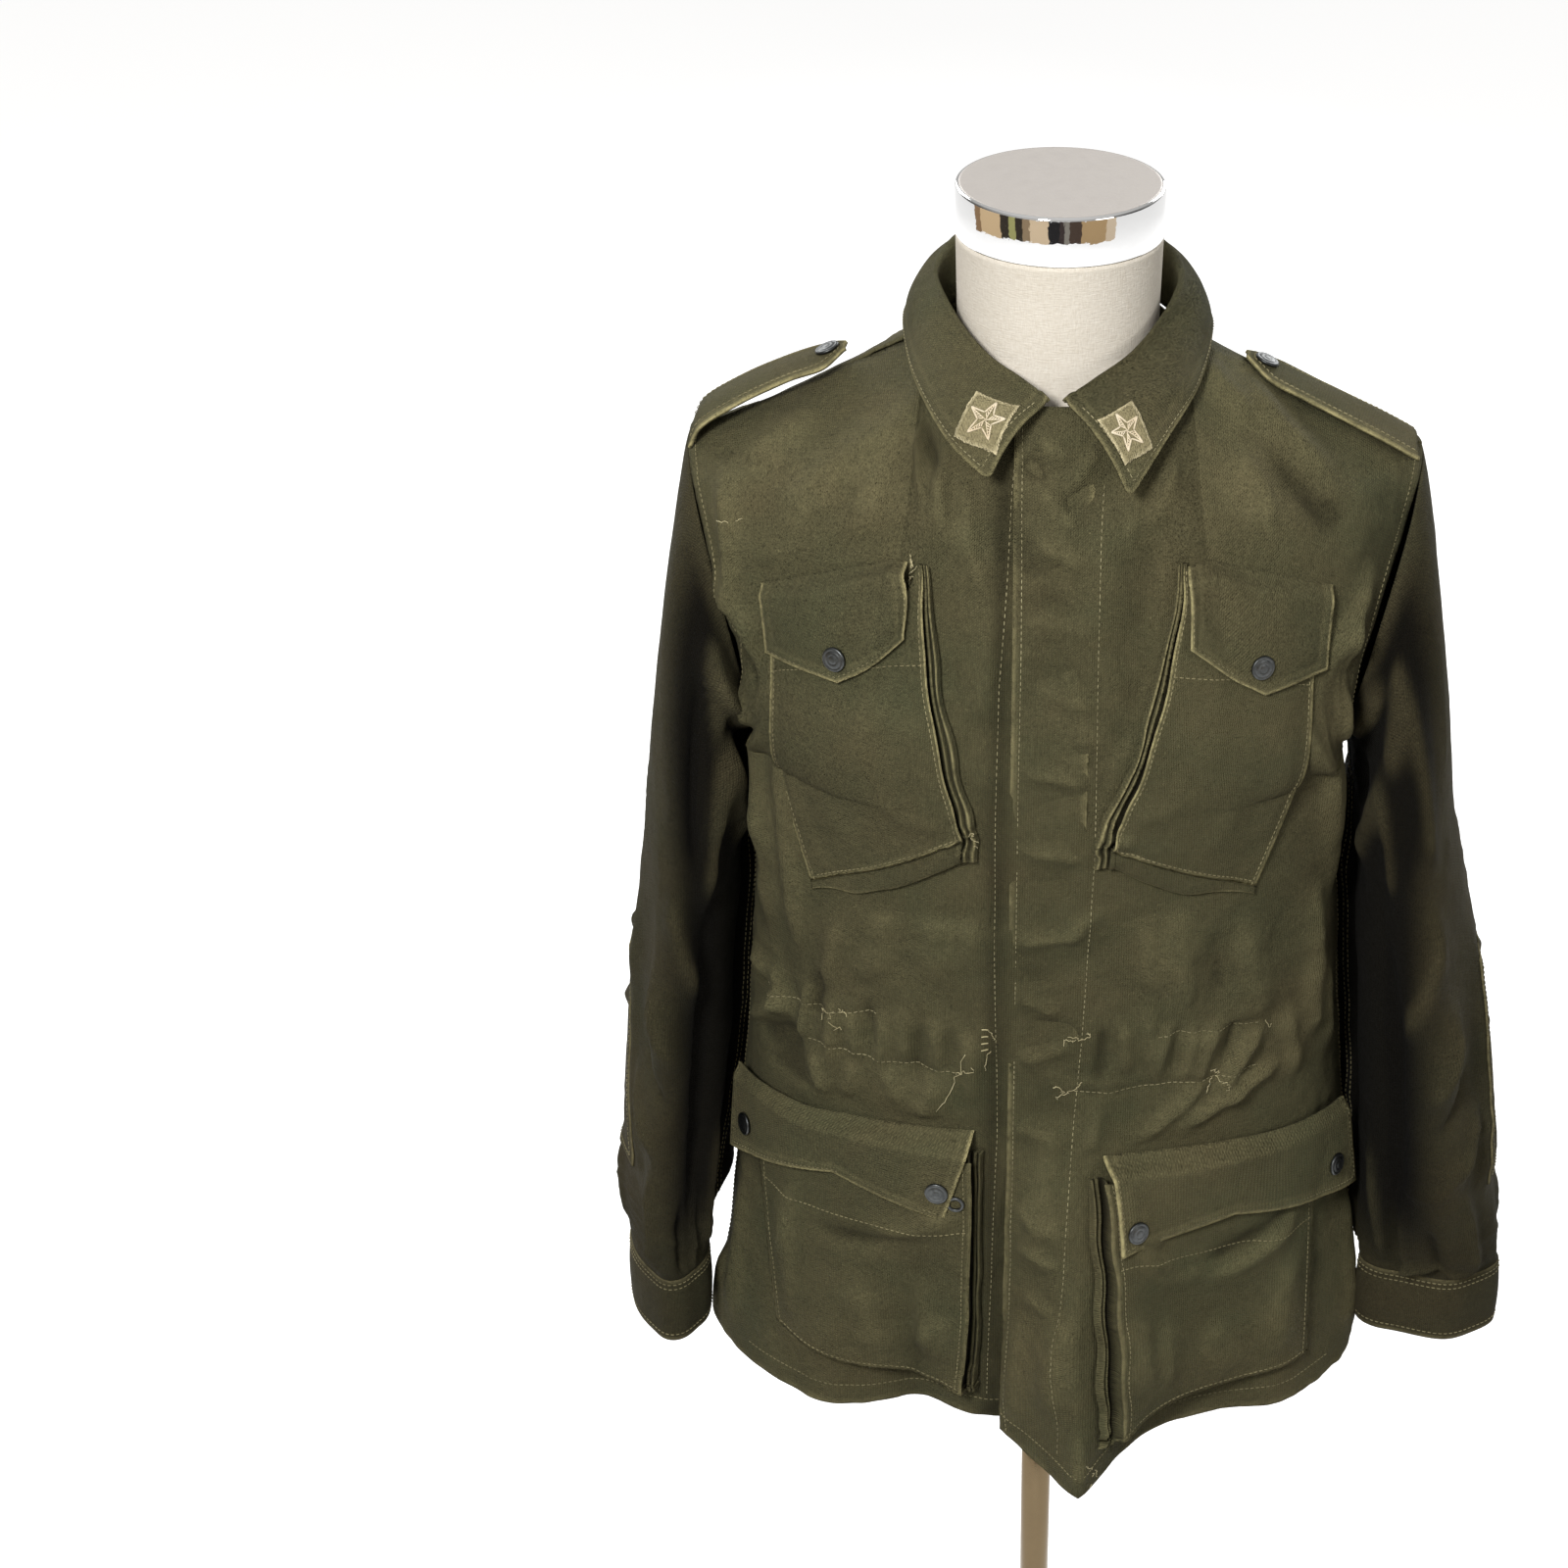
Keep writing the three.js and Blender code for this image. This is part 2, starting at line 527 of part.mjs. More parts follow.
// One cross-section of the collar, on the wearer's left: stand, roll and fall.
function collarColumn(table, at) {
  const get = (column) => along(table, "at", at, column);
  const foot = neckline(get("turn"));
  foot.z += lerp(STAND_LIFT.front, STAND_LIFT.behind, smoothstep(get("turn"), 7, STAND_LIFT.until));
  const roll = point(get("rollX"), get("rollY"), get("rollZ"));
  const edge = point(get("edgeX"), get("edgeY"), get("edgeZ"));
  const out = point(edge.x - foot.x, edge.y - foot.y, 0).normalize();
  const inside = roll.clone().addScaledVector(out, -ROLL).setZ(roll.z - ROLL);
  const outside = roll.clone().addScaledVector(out, ROLL).setZ(roll.z - ROLL);
  const bulge = out.clone().multiplyScalar(BULGE.out).setZ(BULGE.up);
  return [
    foot,
    between(foot, inside, 0.5),
    inside,
    roll,
    outside,
    between(outside, edge, 0.33).add(bulge),
    between(outside, edge, 0.67).add(bulge),
    edge,
  ];
}

function collar() {
  const left = range(COLLAR_STEPS + 1).map((i) => collarColumn(COLLAR_LEFT, (i / COLLAR_STEPS) * 6));
  const right = range(COLLAR_STEPS)
    .map((i) => collarColumn(COLLAR_RIGHT, (i / COLLAR_STEPS) * 6))
    .map((column) => column.map((p) => p.setX(-p.x)));
  const columns = [...right, ...left.reverse()];
  const grid = range(8).map((i) => columns.map((column) => column[i]));
  add(jacket, "collar", wall(grid, DOUBLE, -1), OLIVE);
}
collar();

// The square patches near the collar's points, laid on the fall.
function fallAt(table, side, at, down) {
  const column = collarColumn(table, at);
  const place = 4 + down * 3;
  const i = Math.min(Math.floor(place), 6);
  const p = between(column[i], column[i + 1], place - i);
  return p.setX(p.x * side);
}

// Corners of a patch: how far along the collar from its front end, and how far down the fall.
const PATCH_LEFT = {
  bottomInner: [0.18, 0.76],
  bottomOuter: [0.8, 0.88],
  topInner: [0.22, 0.3],
  topOuter: [1.06, 0.4],
};
const PATCH_RIGHT = {
  bottomInner: [0.08, 0.74],
  bottomOuter: [0.94, 0.88],
  topInner: [0.36, 0.2],
  topOuter: [1.2, 0.38],
};
const PATCH_THICK = 1;
const PATCH_GAP = 1.2; // the collar curves under it

// A place inside four corners, at shares from the inner side to the outer one and from low to high.
function within(corners, share, t) {
  return range(2).map((i) => {
    const low = lerp(corners.bottomInner[i], corners.bottomOuter[i], share);
    const high = lerp(corners.topInner[i], corners.topOuter[i], share);
    return lerp(low, high, t);
  });
}

function collarPatch(name, table, side, corners) {
  const rows = range(4).map((i) =>
    range(4).map((j) => {
      const [at, down] = within(corners, j / 3, i / 3);
      const aside = fallAt(table, side, at + 0.05, down).sub(fallAt(table, side, at - 0.05, down));
      const drop = fallAt(table, side, at, down + 0.05).sub(fallAt(table, side, at, down - 0.05));
      const out = drop.cross(aside).multiplyScalar(side).normalize();
      return fallAt(table, side, at, down).addScaledVector(out, PATCH_GAP + PATCH_THICK);
    }),
  );
  add(jacket, "collar_patch_" + name, wall(rows, PATCH_THICK, -side), PALE_OLIVE);
}
collarPatch("left", COLLAR_LEFT, 1, PATCH_LEFT);
collarPatch("right", COLLAR_RIGHT, -1, PATCH_RIGHT);

// A low round cap on a surface: its middle, the way it faces, and rings of radius and height.
const SNAP_RINGS = [
  { radius: 7.5, up: 0 },
  { radius: 7.5, up: 1.3 },
  { radius: 6.3, up: 2.1 },
  { radius: 3, up: 2.4 },
];
function snap(name, middle, out) {
  const aside = point(0, 0, 1).cross(out).normalize();
  const other = out.clone().cross(aside);
  const rings = SNAP_RINGS.map(({ radius, up }) =>
    range(12).map((i) => {
      const a = (i / 12) * 2 * Math.PI;
      return middle
        .clone()
        .addScaledVector(aside, radius * Math.cos(a))
        .addScaledVector(other, radius * Math.sin(a))
        .addScaledVector(out, up);
    }),
  );
  add(jacket, name, ringSolid(rings), GUNMETAL);
}

// Epaulettes: doubled straps along the shoulder, sewn in at the armhole. Height is above the seam.
const STRAP_LEFT = [
  { along: 0, x: 217, half: 24, lift: 3.2 },
  { along: 1, x: 196, half: 23.5, lift: 5 },
  { along: 2, x: 172, half: 22.5, lift: 5.5 },
  { along: 3, x: 148, half: 21, lift: 6 },
  { along: 4, x: 127, half: 19.5, lift: 7 },
  { along: 5, x: 113, half: 5, lift: 7.5 },
];
const STRAP_RIGHT = [
  { along: 0, x: 219, half: 24, lift: 2.8 },
  { along: 1, x: 211, half: 23.5, lift: 13 },
  { along: 2, x: 186, half: 22.5, lift: 17 },
  { along: 3, x: 160, half: 21, lift: 17 },
  { along: 4, x: 139, half: 19.5, lift: 15 },
  { along: 5, x: 126, half: 5, lift: 14 },
];
const STRAP_DROOP = 0.007; // how fast a strap falls away across its width
const STRAP_SNAP = { along: 4.15, lean: 0.42, off: 0.6 }; // its place, and its tilt

function strapPoint(table, side, at, acrossShare) {
  const get = (column) => along(table, "along", at, column);
  const seam = topEdge(FRONT, (NECK_SHARE * (ARMHOLE.outer - get("x"))) / (ARMHOLE.outer - NECK.half));
  const y = acrossShare * get("half");
  return point(get("x") * side, seam.y + y, seam.z + get("lift") - STRAP_DROOP * y * y);
}

function epaulette(name, table, side) {
  const grid = range(11).map((i) =>
    range(7).map((j) => strapPoint(table, side, (i / 10) * 5, (j / 3 - 1) * side)),
  );
  add(jacket, "epaulette_" + name, wall(grid, DOUBLE, -1), OLIVE);
  const out = point(STRAP_SNAP.lean * side, 0, 1).normalize();
  const middle = strapPoint(table, side, STRAP_SNAP.along, 0).addScaledVector(out, STRAP_SNAP.off);
  snap("snap_epaulette_" + name, middle, out);
}
epaulette("left", STRAP_LEFT, 1);
epaulette("right", STRAP_RIGHT, -1);

// Pockets. Places are distances across a panel from the centre line, and heights. The inner side,
// towards the centre, stands off the panel on a bellows; the outer side is sewn down flat. A flap may
// stand further off at its outer end.
const POCKETS = {
  chest_right: {
    panel: PANELS.right,
    bottomInner: [49, 945],
    bottomOuter: [149, 889],
    topInner: [84, 1080],
    topOuter: [215, 1074],
    deep: 9,
    bellows: 8,
    foot: 9,
    flapTop: [[103, 1099], [165, 1097], [224, 1094]],
    flapLow: [[95, 1067], [137, 1043], [209, 1058]],
    flapOff: 0,
    flapGap: 2.6,
    snaps: [[143, 1057, 0.7]],
  },
  chest_left: {
    panel: PANELS.left,
    bottomInner: [35, 942],
    bottomOuter: [128, 899],
    topInner: [82, 1082],
    topOuter: [196, 1076],
    deep: 9,
    bellows: 8,
    foot: 9,
    flapTop: [[93, 1101], [153, 1100], [213, 1098]],
    flapLow: [[87, 1065], [138, 1040], [197, 1054]],
    flapOff: 0,
    flapGap: 2.2,
    snaps: [[140, 1057, 0.8]],
  },
  lower_right: {
    panel: PANELS.right,
    bottomInner: [43, 523],
    bottomOuter: [178, 540],
    topInner: [41, 708],
    topOuter: [205, 696],
    deep: 15,
    bellows: 8,
    foot: 5,
    flapTop: [[42, 725], [128, 722], [224, 712]],
    flapLow: [[58, 666], [127, 684], [222, 652]],
    flapOff: 6,
    flapGap: 1,
    snaps: [[62, 687, 0.5], [204, 679, 0.5]],
  },
  lower_left: {
    panel: PANELS.left,
    bottomInner: [38, 521],
    bottomOuter: [180, 524],
    topInner: [33, 696],
    topOuter: [190, 688],
    deep: 15,
    bellows: 8,
    foot: 5,
    flapTop: [[37, 711], [122, 709], [215, 701]],
    flapLow: [[37, 650], [118, 661], [224, 633]],
    flapOff: 6,
    flapGap: 1.5,
    snaps: [[47, 665, 1.1], [200, 660, 0.1]],
  },
};
const POCKET_GAP = 1.7; // between a panel and a pocket's sewn edge

// How far a pocket's outer face lies off its panel.
function pocketLift(pocket, place, up) {
  const t = (up - pocket.bottomInner[1]) / (pocket.topInner[1] - pocket.bottomInner[1]);
  const inner = lerp(pocket.bottomInner[0], pocket.topInner[0], t);
  const outer = lerp(pocket.bottomOuter[0], pocket.topOuter[0], t);
  const share = clamp((place - inner) / (outer - inner), 0, 1);
  return POCKET_GAP + CLOTH + pocket.deep * (1 - share * share);
}

function pocket(name, spec) {
  const shares = [0, 0.12, 0.3, 0.5, 0.7, 0.86, 1];
  const rise = [0, 0.16, 0.36, 0.58, 0.8, 1];
  const sewn = POCKET_GAP + CLOTH;
  const line = (t, drop, lowered) => {
    const [innerPlace, innerUp] = within(spec, 0, t);
    const base = laid(spec.panel, innerPlace - spec.bellows, innerUp - drop, sewn);
    const rest = shares.map((share) => {
      const [place, up] = within(spec, share, t);
      const lift = lowered ? sewn : pocketLift(spec, place, up);
      return laid(spec.panel, place, up - drop, lift);
    });
    return [base, ...rest];
  };
  const grid = [line(0, spec.foot, true), ...rise.map((t) => line(t, 0, false))];
  add(jacket, "pocket_" + name, wall(grid, CLOTH, -spec.panel.side), OLIVE);
}

// A place on the two straight lines through a row of three places.
function bent(row, share) {
  const [a, b, c] = row;
  const t = share < 0.5 ? share * 2 : share * 2 - 1;
  const [from, to] = share < 0.5 ? [a, b] : [b, c];
  return [lerp(from[0], to[0], t), lerp(from[1], to[1], t)];
}

// A point on the outside of a flap, at a share of its width from the inner end.
function onFlap(spec, place, up, share) {
  const lift = pocketLift(spec, place, up) + DOUBLE + spec.flapGap + spec.flapOff * share ** 2;
  return laid(spec.panel, place, up, lift);
}

function flap(name, spec) {
  const shares = [0, 0.14, 0.3, 0.42, 0.5, 0.58, 0.7, 0.86, 1];
  const grid = [0, 0.3, 0.58, 0.82, 1].map((t) =>
    shares.map((share) => {
      const low = bent(spec.flapLow, share);
      const high = bent(spec.flapTop, share);
      const place = lerp(low[0], high[0], t);
      const up = lerp(low[1], high[1], t);
      const sewn = LAID_GAP + DOUBLE + spec.flapOff * share ** 2;
      return t === 1 ? laid(spec.panel, place, up, sewn) : onFlap(spec, place, up, share);
    }),
  );
  add(jacket, "flap_" + name, wall(grid, DOUBLE, -spec.panel.side), OLIVE);
  const reach = 6;
  for (const [i, [place, up, off]] of spec.snaps.entries()) {
    const share = (place - spec.flapLow[0][0]) / (spec.flapLow[2][0] - spec.flapLow[0][0]);
    const aside = onFlap(spec, place + reach, up, share).sub(onFlap(spec, place - reach, up, share));
    const upward = onFlap(spec, place, up + reach, share).sub(onFlap(spec, place, up - reach, share));
    const out = upward.cross(aside).multiplyScalar(-spec.panel.side).normalize();
    const middle = onFlap(spec, place, up, share).addScaledVector(out, off);
    snap("snap_" + name + "_" + (i + 1), middle, out);
  }
}
for (const [name, spec] of Object.entries(POCKETS)) {
  pocket(name, spec);
  flap(name, spec);
}

// The form: a smooth limbless torso with its neck, standing inside the jacket. Each row gives a
// height, half width, depth to the front and depth to the back.
const FORM = [
  { up: 560, half: 140, front: 84, back: 80 },
  { up: 575, half: 150, front: 92, back: 88 },
  { up: 640, half: 158, front: 98, back: 92 },
  { up: 715, half: 158, front: 101, back: 90 },
  { up: 800, half: 161, front: 106, back: 93 },
  { up: 880, half: 165, front: 112, back: 99 },
  { up: 965, half: 166, front: 115, back: 103 },
  { up: 1030, half: 166, front: 112, back: 104 },
  { up: 1092.6, half: 165, front: 98, back: 98 },
  { up: 1129.6, half: 158, front: 80, back: 86 },
  { up: 1154.6, half: 140, front: 66, back: 72 },
  { up: 1173.6, half: 113, front: 61, back: 63 },
  { up: 1189.6, half: 90, front: 59, back: 60 },
  { up: 1200.6, half: 72, front: 58, back: 58 },
  { up: 1208, half: 60, front: 59, back: 59 },
  { up: 1230, half: 60, front: 60, back: 60 },
  { up: 1269.7, half: 61, front: 61, back: 61 },
];
const FORM_AROUND = 32;
const CAP = { radius: 61.5, low: 1270, high: 1300, bevel: 1.2 };
const POLE = { radius: 10, low: 8.3, high: 559.7 };
const BASE = { radius: 150, high: 8, bevel: 1.5 };

function formRing({ up, half, front, back }) {
  return range(FORM_AROUND).map((i) => {
    const a = (i / FORM_AROUND) * 2 * Math.PI;
    const deep = Math.sin(a) < 0 ? front : back;
    return point(half * Math.cos(a), deep * Math.sin(a), up);
  });
}

function circle(radius, up, count) {
  return range(count).map((i) => {
    const a = (i / count) * 2 * Math.PI;
    return point(radius * Math.cos(a), radius * Math.sin(a), up);
  });
}

add(stand, "form_torso", ringSolid(FORM.map(formRing)), LINEN);
const capRings = [
  [CAP.radius, CAP.low],
  [CAP.radius, CAP.high - CAP.bevel],
  [CAP.radius - CAP.bevel, CAP.high],
];
add(stand, "neck_cap", ringSolid(capRings.map(([r, up]) => circle(r, up, 48))), CHROME);
add(stand, "pole", ringSolid([POLE.low, POLE.high].map((up) => circle(POLE.radius, up, 24))), POLE_METAL);
const baseRings = [
  [BASE.radius, 0],
  [BASE.radius, BASE.high - BASE.bevel],
  [BASE.radius - BASE.bevel, BASE.high],
];
add(stand, "base", ringSolid(baseRings.map(([r, up]) => circle(r, up, 48))), POLE_METAL);

// The origin lies on the floor under the middle of the whole part.
const part = new THREE.Group().add(jacket, stand);
const middle = new THREE.Box3().setFromObject(part).getCenter(point(0, 0, 0));
part.traverse((item) => item.isMesh && item.geometry.translate(-middle.x, -middle.y, 0));

export default part;
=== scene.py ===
# A field jacket worn by a limbless dress form on its stand. The tables are in millimetres, measured
# from the form's axis and the floor, with the front at -Y and the wearer's left at +X.
import math

import bpy
import numpy as np
from mathutils import Matrix, Vector


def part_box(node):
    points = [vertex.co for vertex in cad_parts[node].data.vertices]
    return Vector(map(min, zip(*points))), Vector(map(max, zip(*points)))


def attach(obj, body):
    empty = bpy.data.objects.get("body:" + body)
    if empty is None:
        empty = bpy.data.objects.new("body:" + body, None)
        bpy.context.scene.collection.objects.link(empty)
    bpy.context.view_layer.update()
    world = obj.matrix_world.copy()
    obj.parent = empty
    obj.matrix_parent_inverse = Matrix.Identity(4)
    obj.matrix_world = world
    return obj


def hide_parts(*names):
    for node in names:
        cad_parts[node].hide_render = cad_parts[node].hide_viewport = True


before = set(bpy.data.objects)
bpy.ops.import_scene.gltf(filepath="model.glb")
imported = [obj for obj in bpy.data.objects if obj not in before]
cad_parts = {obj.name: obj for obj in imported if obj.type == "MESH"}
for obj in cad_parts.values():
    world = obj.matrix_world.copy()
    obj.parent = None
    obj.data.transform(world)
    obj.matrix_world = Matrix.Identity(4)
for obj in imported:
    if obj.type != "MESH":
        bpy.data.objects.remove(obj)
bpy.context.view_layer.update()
pole_low, pole_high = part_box("pole")
AXIS = (pole_low + pole_high) / 2
MM = 0.001


# Helpers for tables, shares and noise
def table(names, *rows):
    """A table with named columns, as arrays."""
    return {name: np.array(values, float) for name, values in zip(names.split(), zip(*rows))}


def lerp(a, b, t):
    return a + (b - a) * t


def smooth(x, low, high):
    t = np.clip((np.asarray(x, float) - low) / (high - low), 0, 1)
    return t * t * (3 - 2 * t)


def bump_at(x, middle, width):
    """A soft bump, 1 at its middle."""
    return np.exp(-(((x - middle) / width) ** 2))


def along(rows, key, at, name):
    """A column at any key between its rows, on a smooth curve through them."""
    keys, values = rows[key], rows[name]
    at = np.asarray(at, float)
    last = len(keys) - 1
    before = np.maximum(np.arange(last + 1) - 1, 0)
    after = np.minimum(np.arange(last + 1) + 1, last)
    slope = (values[after] - values[before]) / (keys[after] - keys[before])
    i = np.searchsorted(keys[1:-1], at, side="left")
    span = keys[i + 1] - keys[i]
    t = np.clip((at - keys[i]) / span, 0, 1)
    rise = (values[i + 1] - values[i]) * t * t * (3 - 2 * t)
    early = t * (1 - t) ** 2 * slope[i] * span
    late = t * t * (t - 1) * slope[i + 1] * span
    return values[i] + rise + early + late


# How many random heights a lattice of noise has each way, and what brings its heights up to about 1
LATTICE, NOISE_GAIN = 64, 1.4


def noise(a, b, size_a, size_b, seed):
    """Smooth random heights, about -1 to 1, on a lattice of the given sizes."""
    lattice = np.random.default_rng(seed).uniform(-1, 1, (LATTICE, LATTICE))
    x = np.asarray(a, float) / size_a + 13.3
    y = np.asarray(b, float) / size_b + 7.7
    i, j = np.floor(x).astype(int), np.floor(y).astype(int)
    fx, fy = x - i, y - j
    fx = fx * fx * fx * (fx * (6 * fx - 15) + 10)
    fy = fy * fy * fy * (fy * (6 * fy - 15) + 10)
    corner = lambda di, dj: lattice[(i + di) % LATTICE, (j + dj) % LATTICE]
    low = lerp(corner(0, 0), corner(1, 0), fx)
    high = lerp(corner(0, 1), corner(1, 1), fx)
    return lerp(low, high, fy) * NOISE_GAIN


def crumple(a, b, size, seed):
    """Crease-like noise: thin ridges round flatter patches, at two scales."""
    warp_a = a + 0.5 * size * noise(a, b, 1.6 * size, 1.6 * size, seed + 1)
    warp_b = b + 0.5 * size * noise(a, b, 1.6 * size, 1.6 * size, seed + 2)
    coarse = 1 - 2 * np.abs(noise(warp_a, warp_b, size, size, seed + 3))
    fine = 1 - 2 * np.abs(noise(warp_a, warp_b, 0.45 * size, 0.45 * size, seed + 4))
    return 0.7 * coarse + 0.3 * fine


def creases(rows, a, b):
    """The rise of soft creases. Each runs from one place to another, with a width, a height and a bend
    to one side."""
    rise = np.zeros(np.broadcast(a, b).shape)
    for from_a, from_b, to_a, to_b, width, height, bend in rows:
        run_a, run_b = to_a - from_a, to_b - from_b
        long = math.hypot(run_a, run_b)
        t = ((a - from_a) * run_a + (b - from_b) * run_b) / long**2
        off = ((a - from_a) * run_b - (b - from_b) * run_a) / long - bend * 4 * t * (1 - t)
        ends = smooth(t, -0.1, 0.3) * (1 - smooth(t, 0.7, 1.1))
        rise += height * ends * np.exp(-(np.abs(off / width) ** 1.6))
    return rise


class Surface:
    """Cloth as a function of two shares, s across and t up, that gives points in millimetres. Out is 1
    or -1, whichever makes its normals point out."""

    def __init__(self, place, out):
        self.place = place
        self.out = out

    def at(self, s, t, lift=0.0):
        s, t = np.broadcast_arrays(np.asarray(s, float), np.asarray(t, float))
        return self.place(s, t) + self.normal(s, t) * np.asarray(lift)[..., None]

    def normal(self, s, t):
        step = 0.004
        upward = self.place(s, t + step) - self.place(s, t - step)
        aside = self.place(s + step, t) - self.place(s - step, t)
        normal = np.cross(upward, aside) * self.out
        return normal / np.linalg.norm(normal, axis=-1, keepdims=True)


def grid_of(across, up):
    """Two arrays that hold each pair of values."""
    return np.meshgrid(across, up)


def look_up(values, row, column):
    """A grid of vectors read between its points."""
    row = np.clip(row, 0, values.shape[0] - 1.001)
    column = np.clip(column, 0, values.shape[1] - 1.001)
    i, j = row.astype(int), column.astype(int)
    f, g = (row - i)[..., None], (column - j)[..., None]
    low = lerp(values[i, j], values[i, j + 1], g)
    high = lerp(values[i + 1, j], values[i + 1, j + 1], g)
    return lerp(low, high, f)


def grid_normals(points, out, ring=False):
    if ring:
        wrapped = np.concatenate([points[:, -1:], points, points[:, :1]], axis=1)
        aside = np.gradient(wrapped, axis=1)[:, 1:-1]
    else:
        aside = np.gradient(points, axis=1)
    normal = np.cross(np.gradient(points, axis=0), aside) * out
    return normal / np.linalg.norm(normal, axis=-1, keepdims=True)


def border(points, sides):
    """How far each point of a grid is from the nearest of the named sides: low, high, first, last."""
    rows = np.linalg.norm(np.diff(points, axis=0), axis=-1)
    columns = np.linalg.norm(np.diff(points, axis=1), axis=-1)
    from_low = np.concatenate([np.zeros((1, points.shape[1])), np.cumsum(rows, axis=0)])
    from_first = np.concatenate([np.zeros((points.shape[0], 1)), np.cumsum(columns, axis=1)], axis=1)
    far = {
        "low": from_low,
        "high": from_low[-1] - from_low,
        "first": from_first,
        "last": from_first[:, -1:] - from_first,
    }
    return np.min([far[side] for side in sides], axis=0)


# The body of the jacket: the same sizes as the solids
HEM, ARMPIT = 490, 965
CLOTH, DOUBLE, PATCH_CLOTH = 1.4, 2.2, 1.2
SEAM_GAP = 0.2
OVERLAP = 24
PLACKET = {"lift": 2.6, "from": 28, "to": 62}
LEVELS = table(
    "up half front back power",
    (490, 213, 118, 122, 2.3),
    (560, 208, 121, 121, 2.25),
    (640, 201, 125, 118, 2.2),
    (715, 193, 128, 115, 2.2),
    (800, 187, 133, 118, 2.25),
    (880, 183, 139, 124, 2.45),
    (965, 181, 142, 128, 2.9),
)
FRONT_LINE = table(
    "up depth", (965, 142), (1010, 140), (1060, 132), (1110, 118), (1150, 101), (1192, 78), (1204, 68)
)
BACK_LINE = table("up depth", (965, 128), (1010, 130), (1060, 128), (1110, 118), (1160, 98), (1214, 72))
ARMHOLE = {"low": 965, "high": 1139, "inner": 181, "outer": 220, "reach": 70, "hollow": 6}
NECK = {"half": 78, "side": 1203, "behind": 5, "front": 1192, "back": 1214}
CHEST_POWER = {"low": 2.9, "across": 2.6, "depth": 1.05}
CHEST_BLEND = 80
NECK_SHARE = 4 / 7
TOP_LENGTH = 283
SECTION_STEPS = 400
# A half panel's nominal width, which sets the number of columns of its grid
HALF_PANEL = 300
SIGN = {"front": -1, "back": 1}
SIDES = {"left": 1, "right": -1}
LINE = {"front": FRONT_LINE, "back": BACK_LINE}
TOP = {"front": NECK["front"], "back": NECK["back"]}


def section(face, up, shares):
    """Points of the body's section at one height, from the side seam to the centre line."""
    half, depth, power = (along(LEVELS, "up", up, name) for name in ("half", face, "power"))
    turn = np.linspace(0, math.pi / 2, SECTION_STEPS + 1)
    x = half * np.maximum(np.cos(turn), 0) ** (2 / power)
    y = SIGN[face] * depth * np.sin(turn) ** (2 / power)
    far = np.concatenate([[0], np.cumsum(np.hypot(np.diff(x), np.diff(y)))])
    reach = shares * far[-1]
    points = [np.interp(reach, far, x), np.interp(reach, far, y), np.full(len(shares), float(up))]
    return np.stack(points, -1), far[-1]


def armhole(turn):
    risen = (1 - np.cos(turn)) / 2
    x = lerp(ARMHOLE["inner"], ARMHOLE["outer"], risen) - ARMHOLE["hollow"] * np.sin(turn) ** 2
    y = -ARMHOLE["reach"] * np.sin(turn)
    return np.stack([x, y, lerp(ARMHOLE["low"], ARMHOLE["high"], risen)], -1)


def crown(face, x, up):
    """How far forward or back the cloth lies above the armpit."""
    low, high = ARMHOLE["low"], ARMHOLE["high"]
    beside = armhole(np.arccos(np.clip(1 - 2 * (up - low) / (high - low), -1, 1)))
    t = np.clip((up - high) / (NECK["side"] - high), 0, 1)
    below = up < high
    edge_x = np.where(below, beside[..., 0], lerp(ARMHOLE["outer"], NECK["half"], t))
    edge_y = np.where(below, np.abs(beside[..., 1]), SIGN[face] * NECK["behind"] * t)
    blend = smooth(up, low, low + CHEST_BLEND)
    power = lerp(CHEST_POWER["low"], CHEST_POWER["across"], blend)
    root = lerp(CHEST_POWER["low"], CHEST_POWER["depth"], blend)
    share = np.clip(np.abs(x) / edge_x, 0, 1)
    centre = along(LINE[face], "up", up, "depth")
    return SIGN[face] * (edge_y + (centre - edge_y) * (1 - share**power) ** (1 / root))


def neckline(turn):
    """The neckline at a turn in degrees, 0 at the centre front and 180 behind."""
    turn = np.radians(np.asarray(turn, float))
    forward = np.cos(turn)
    x = NECK["half"] * np.sin(turn)
    up = lerp(NECK["side"], np.where(forward > 0, NECK["front"], NECK["back"]), np.abs(forward))
    y = np.where(forward > 0, crown("front", x, up), crown("back", x, up))
    return np.stack([x, y, up], -1)


def top_edge(face, shares):
    shoulder = lerp(armhole(math.pi), neckline(90), (shares / NECK_SHARE)[..., None])
    centre = 0 if face == "front" else 180
    round_neck = neckline(lerp(90, centre, np.clip((shares - NECK_SHARE) / (1 - NECK_SHARE), 0, 1)))
    return np.where((shares < NECK_SHARE)[..., None], shoulder, round_neck)


def skin_row(face, shares, up):
    """One row of the plain body. Up is measured on the centre line."""
    low, length = section(face, min(up, ARMPIT), shares)
    if up <= ARMPIT:
        return low, length
    risen = (up - ARMPIT) / (TOP[face] - ARMPIT)
    eased = risen * risen * (3 - 2 * risen)
    top = top_edge(face, shares)
    t = shares[:, None]
    edge = armhole(math.pi * risen) - lerp(low[0], top[0], eased)
    centre = np.array([0, 0, up]) - lerp(low[-1], top[-1], eased)
    row = lerp(low, top, eased) + edge * (1 - t) + centre * t
    row[:, 1] = crown(face, row[:, 0], row[:, 2])
    return row, lerp(length, TOP_LENGTH, risen)


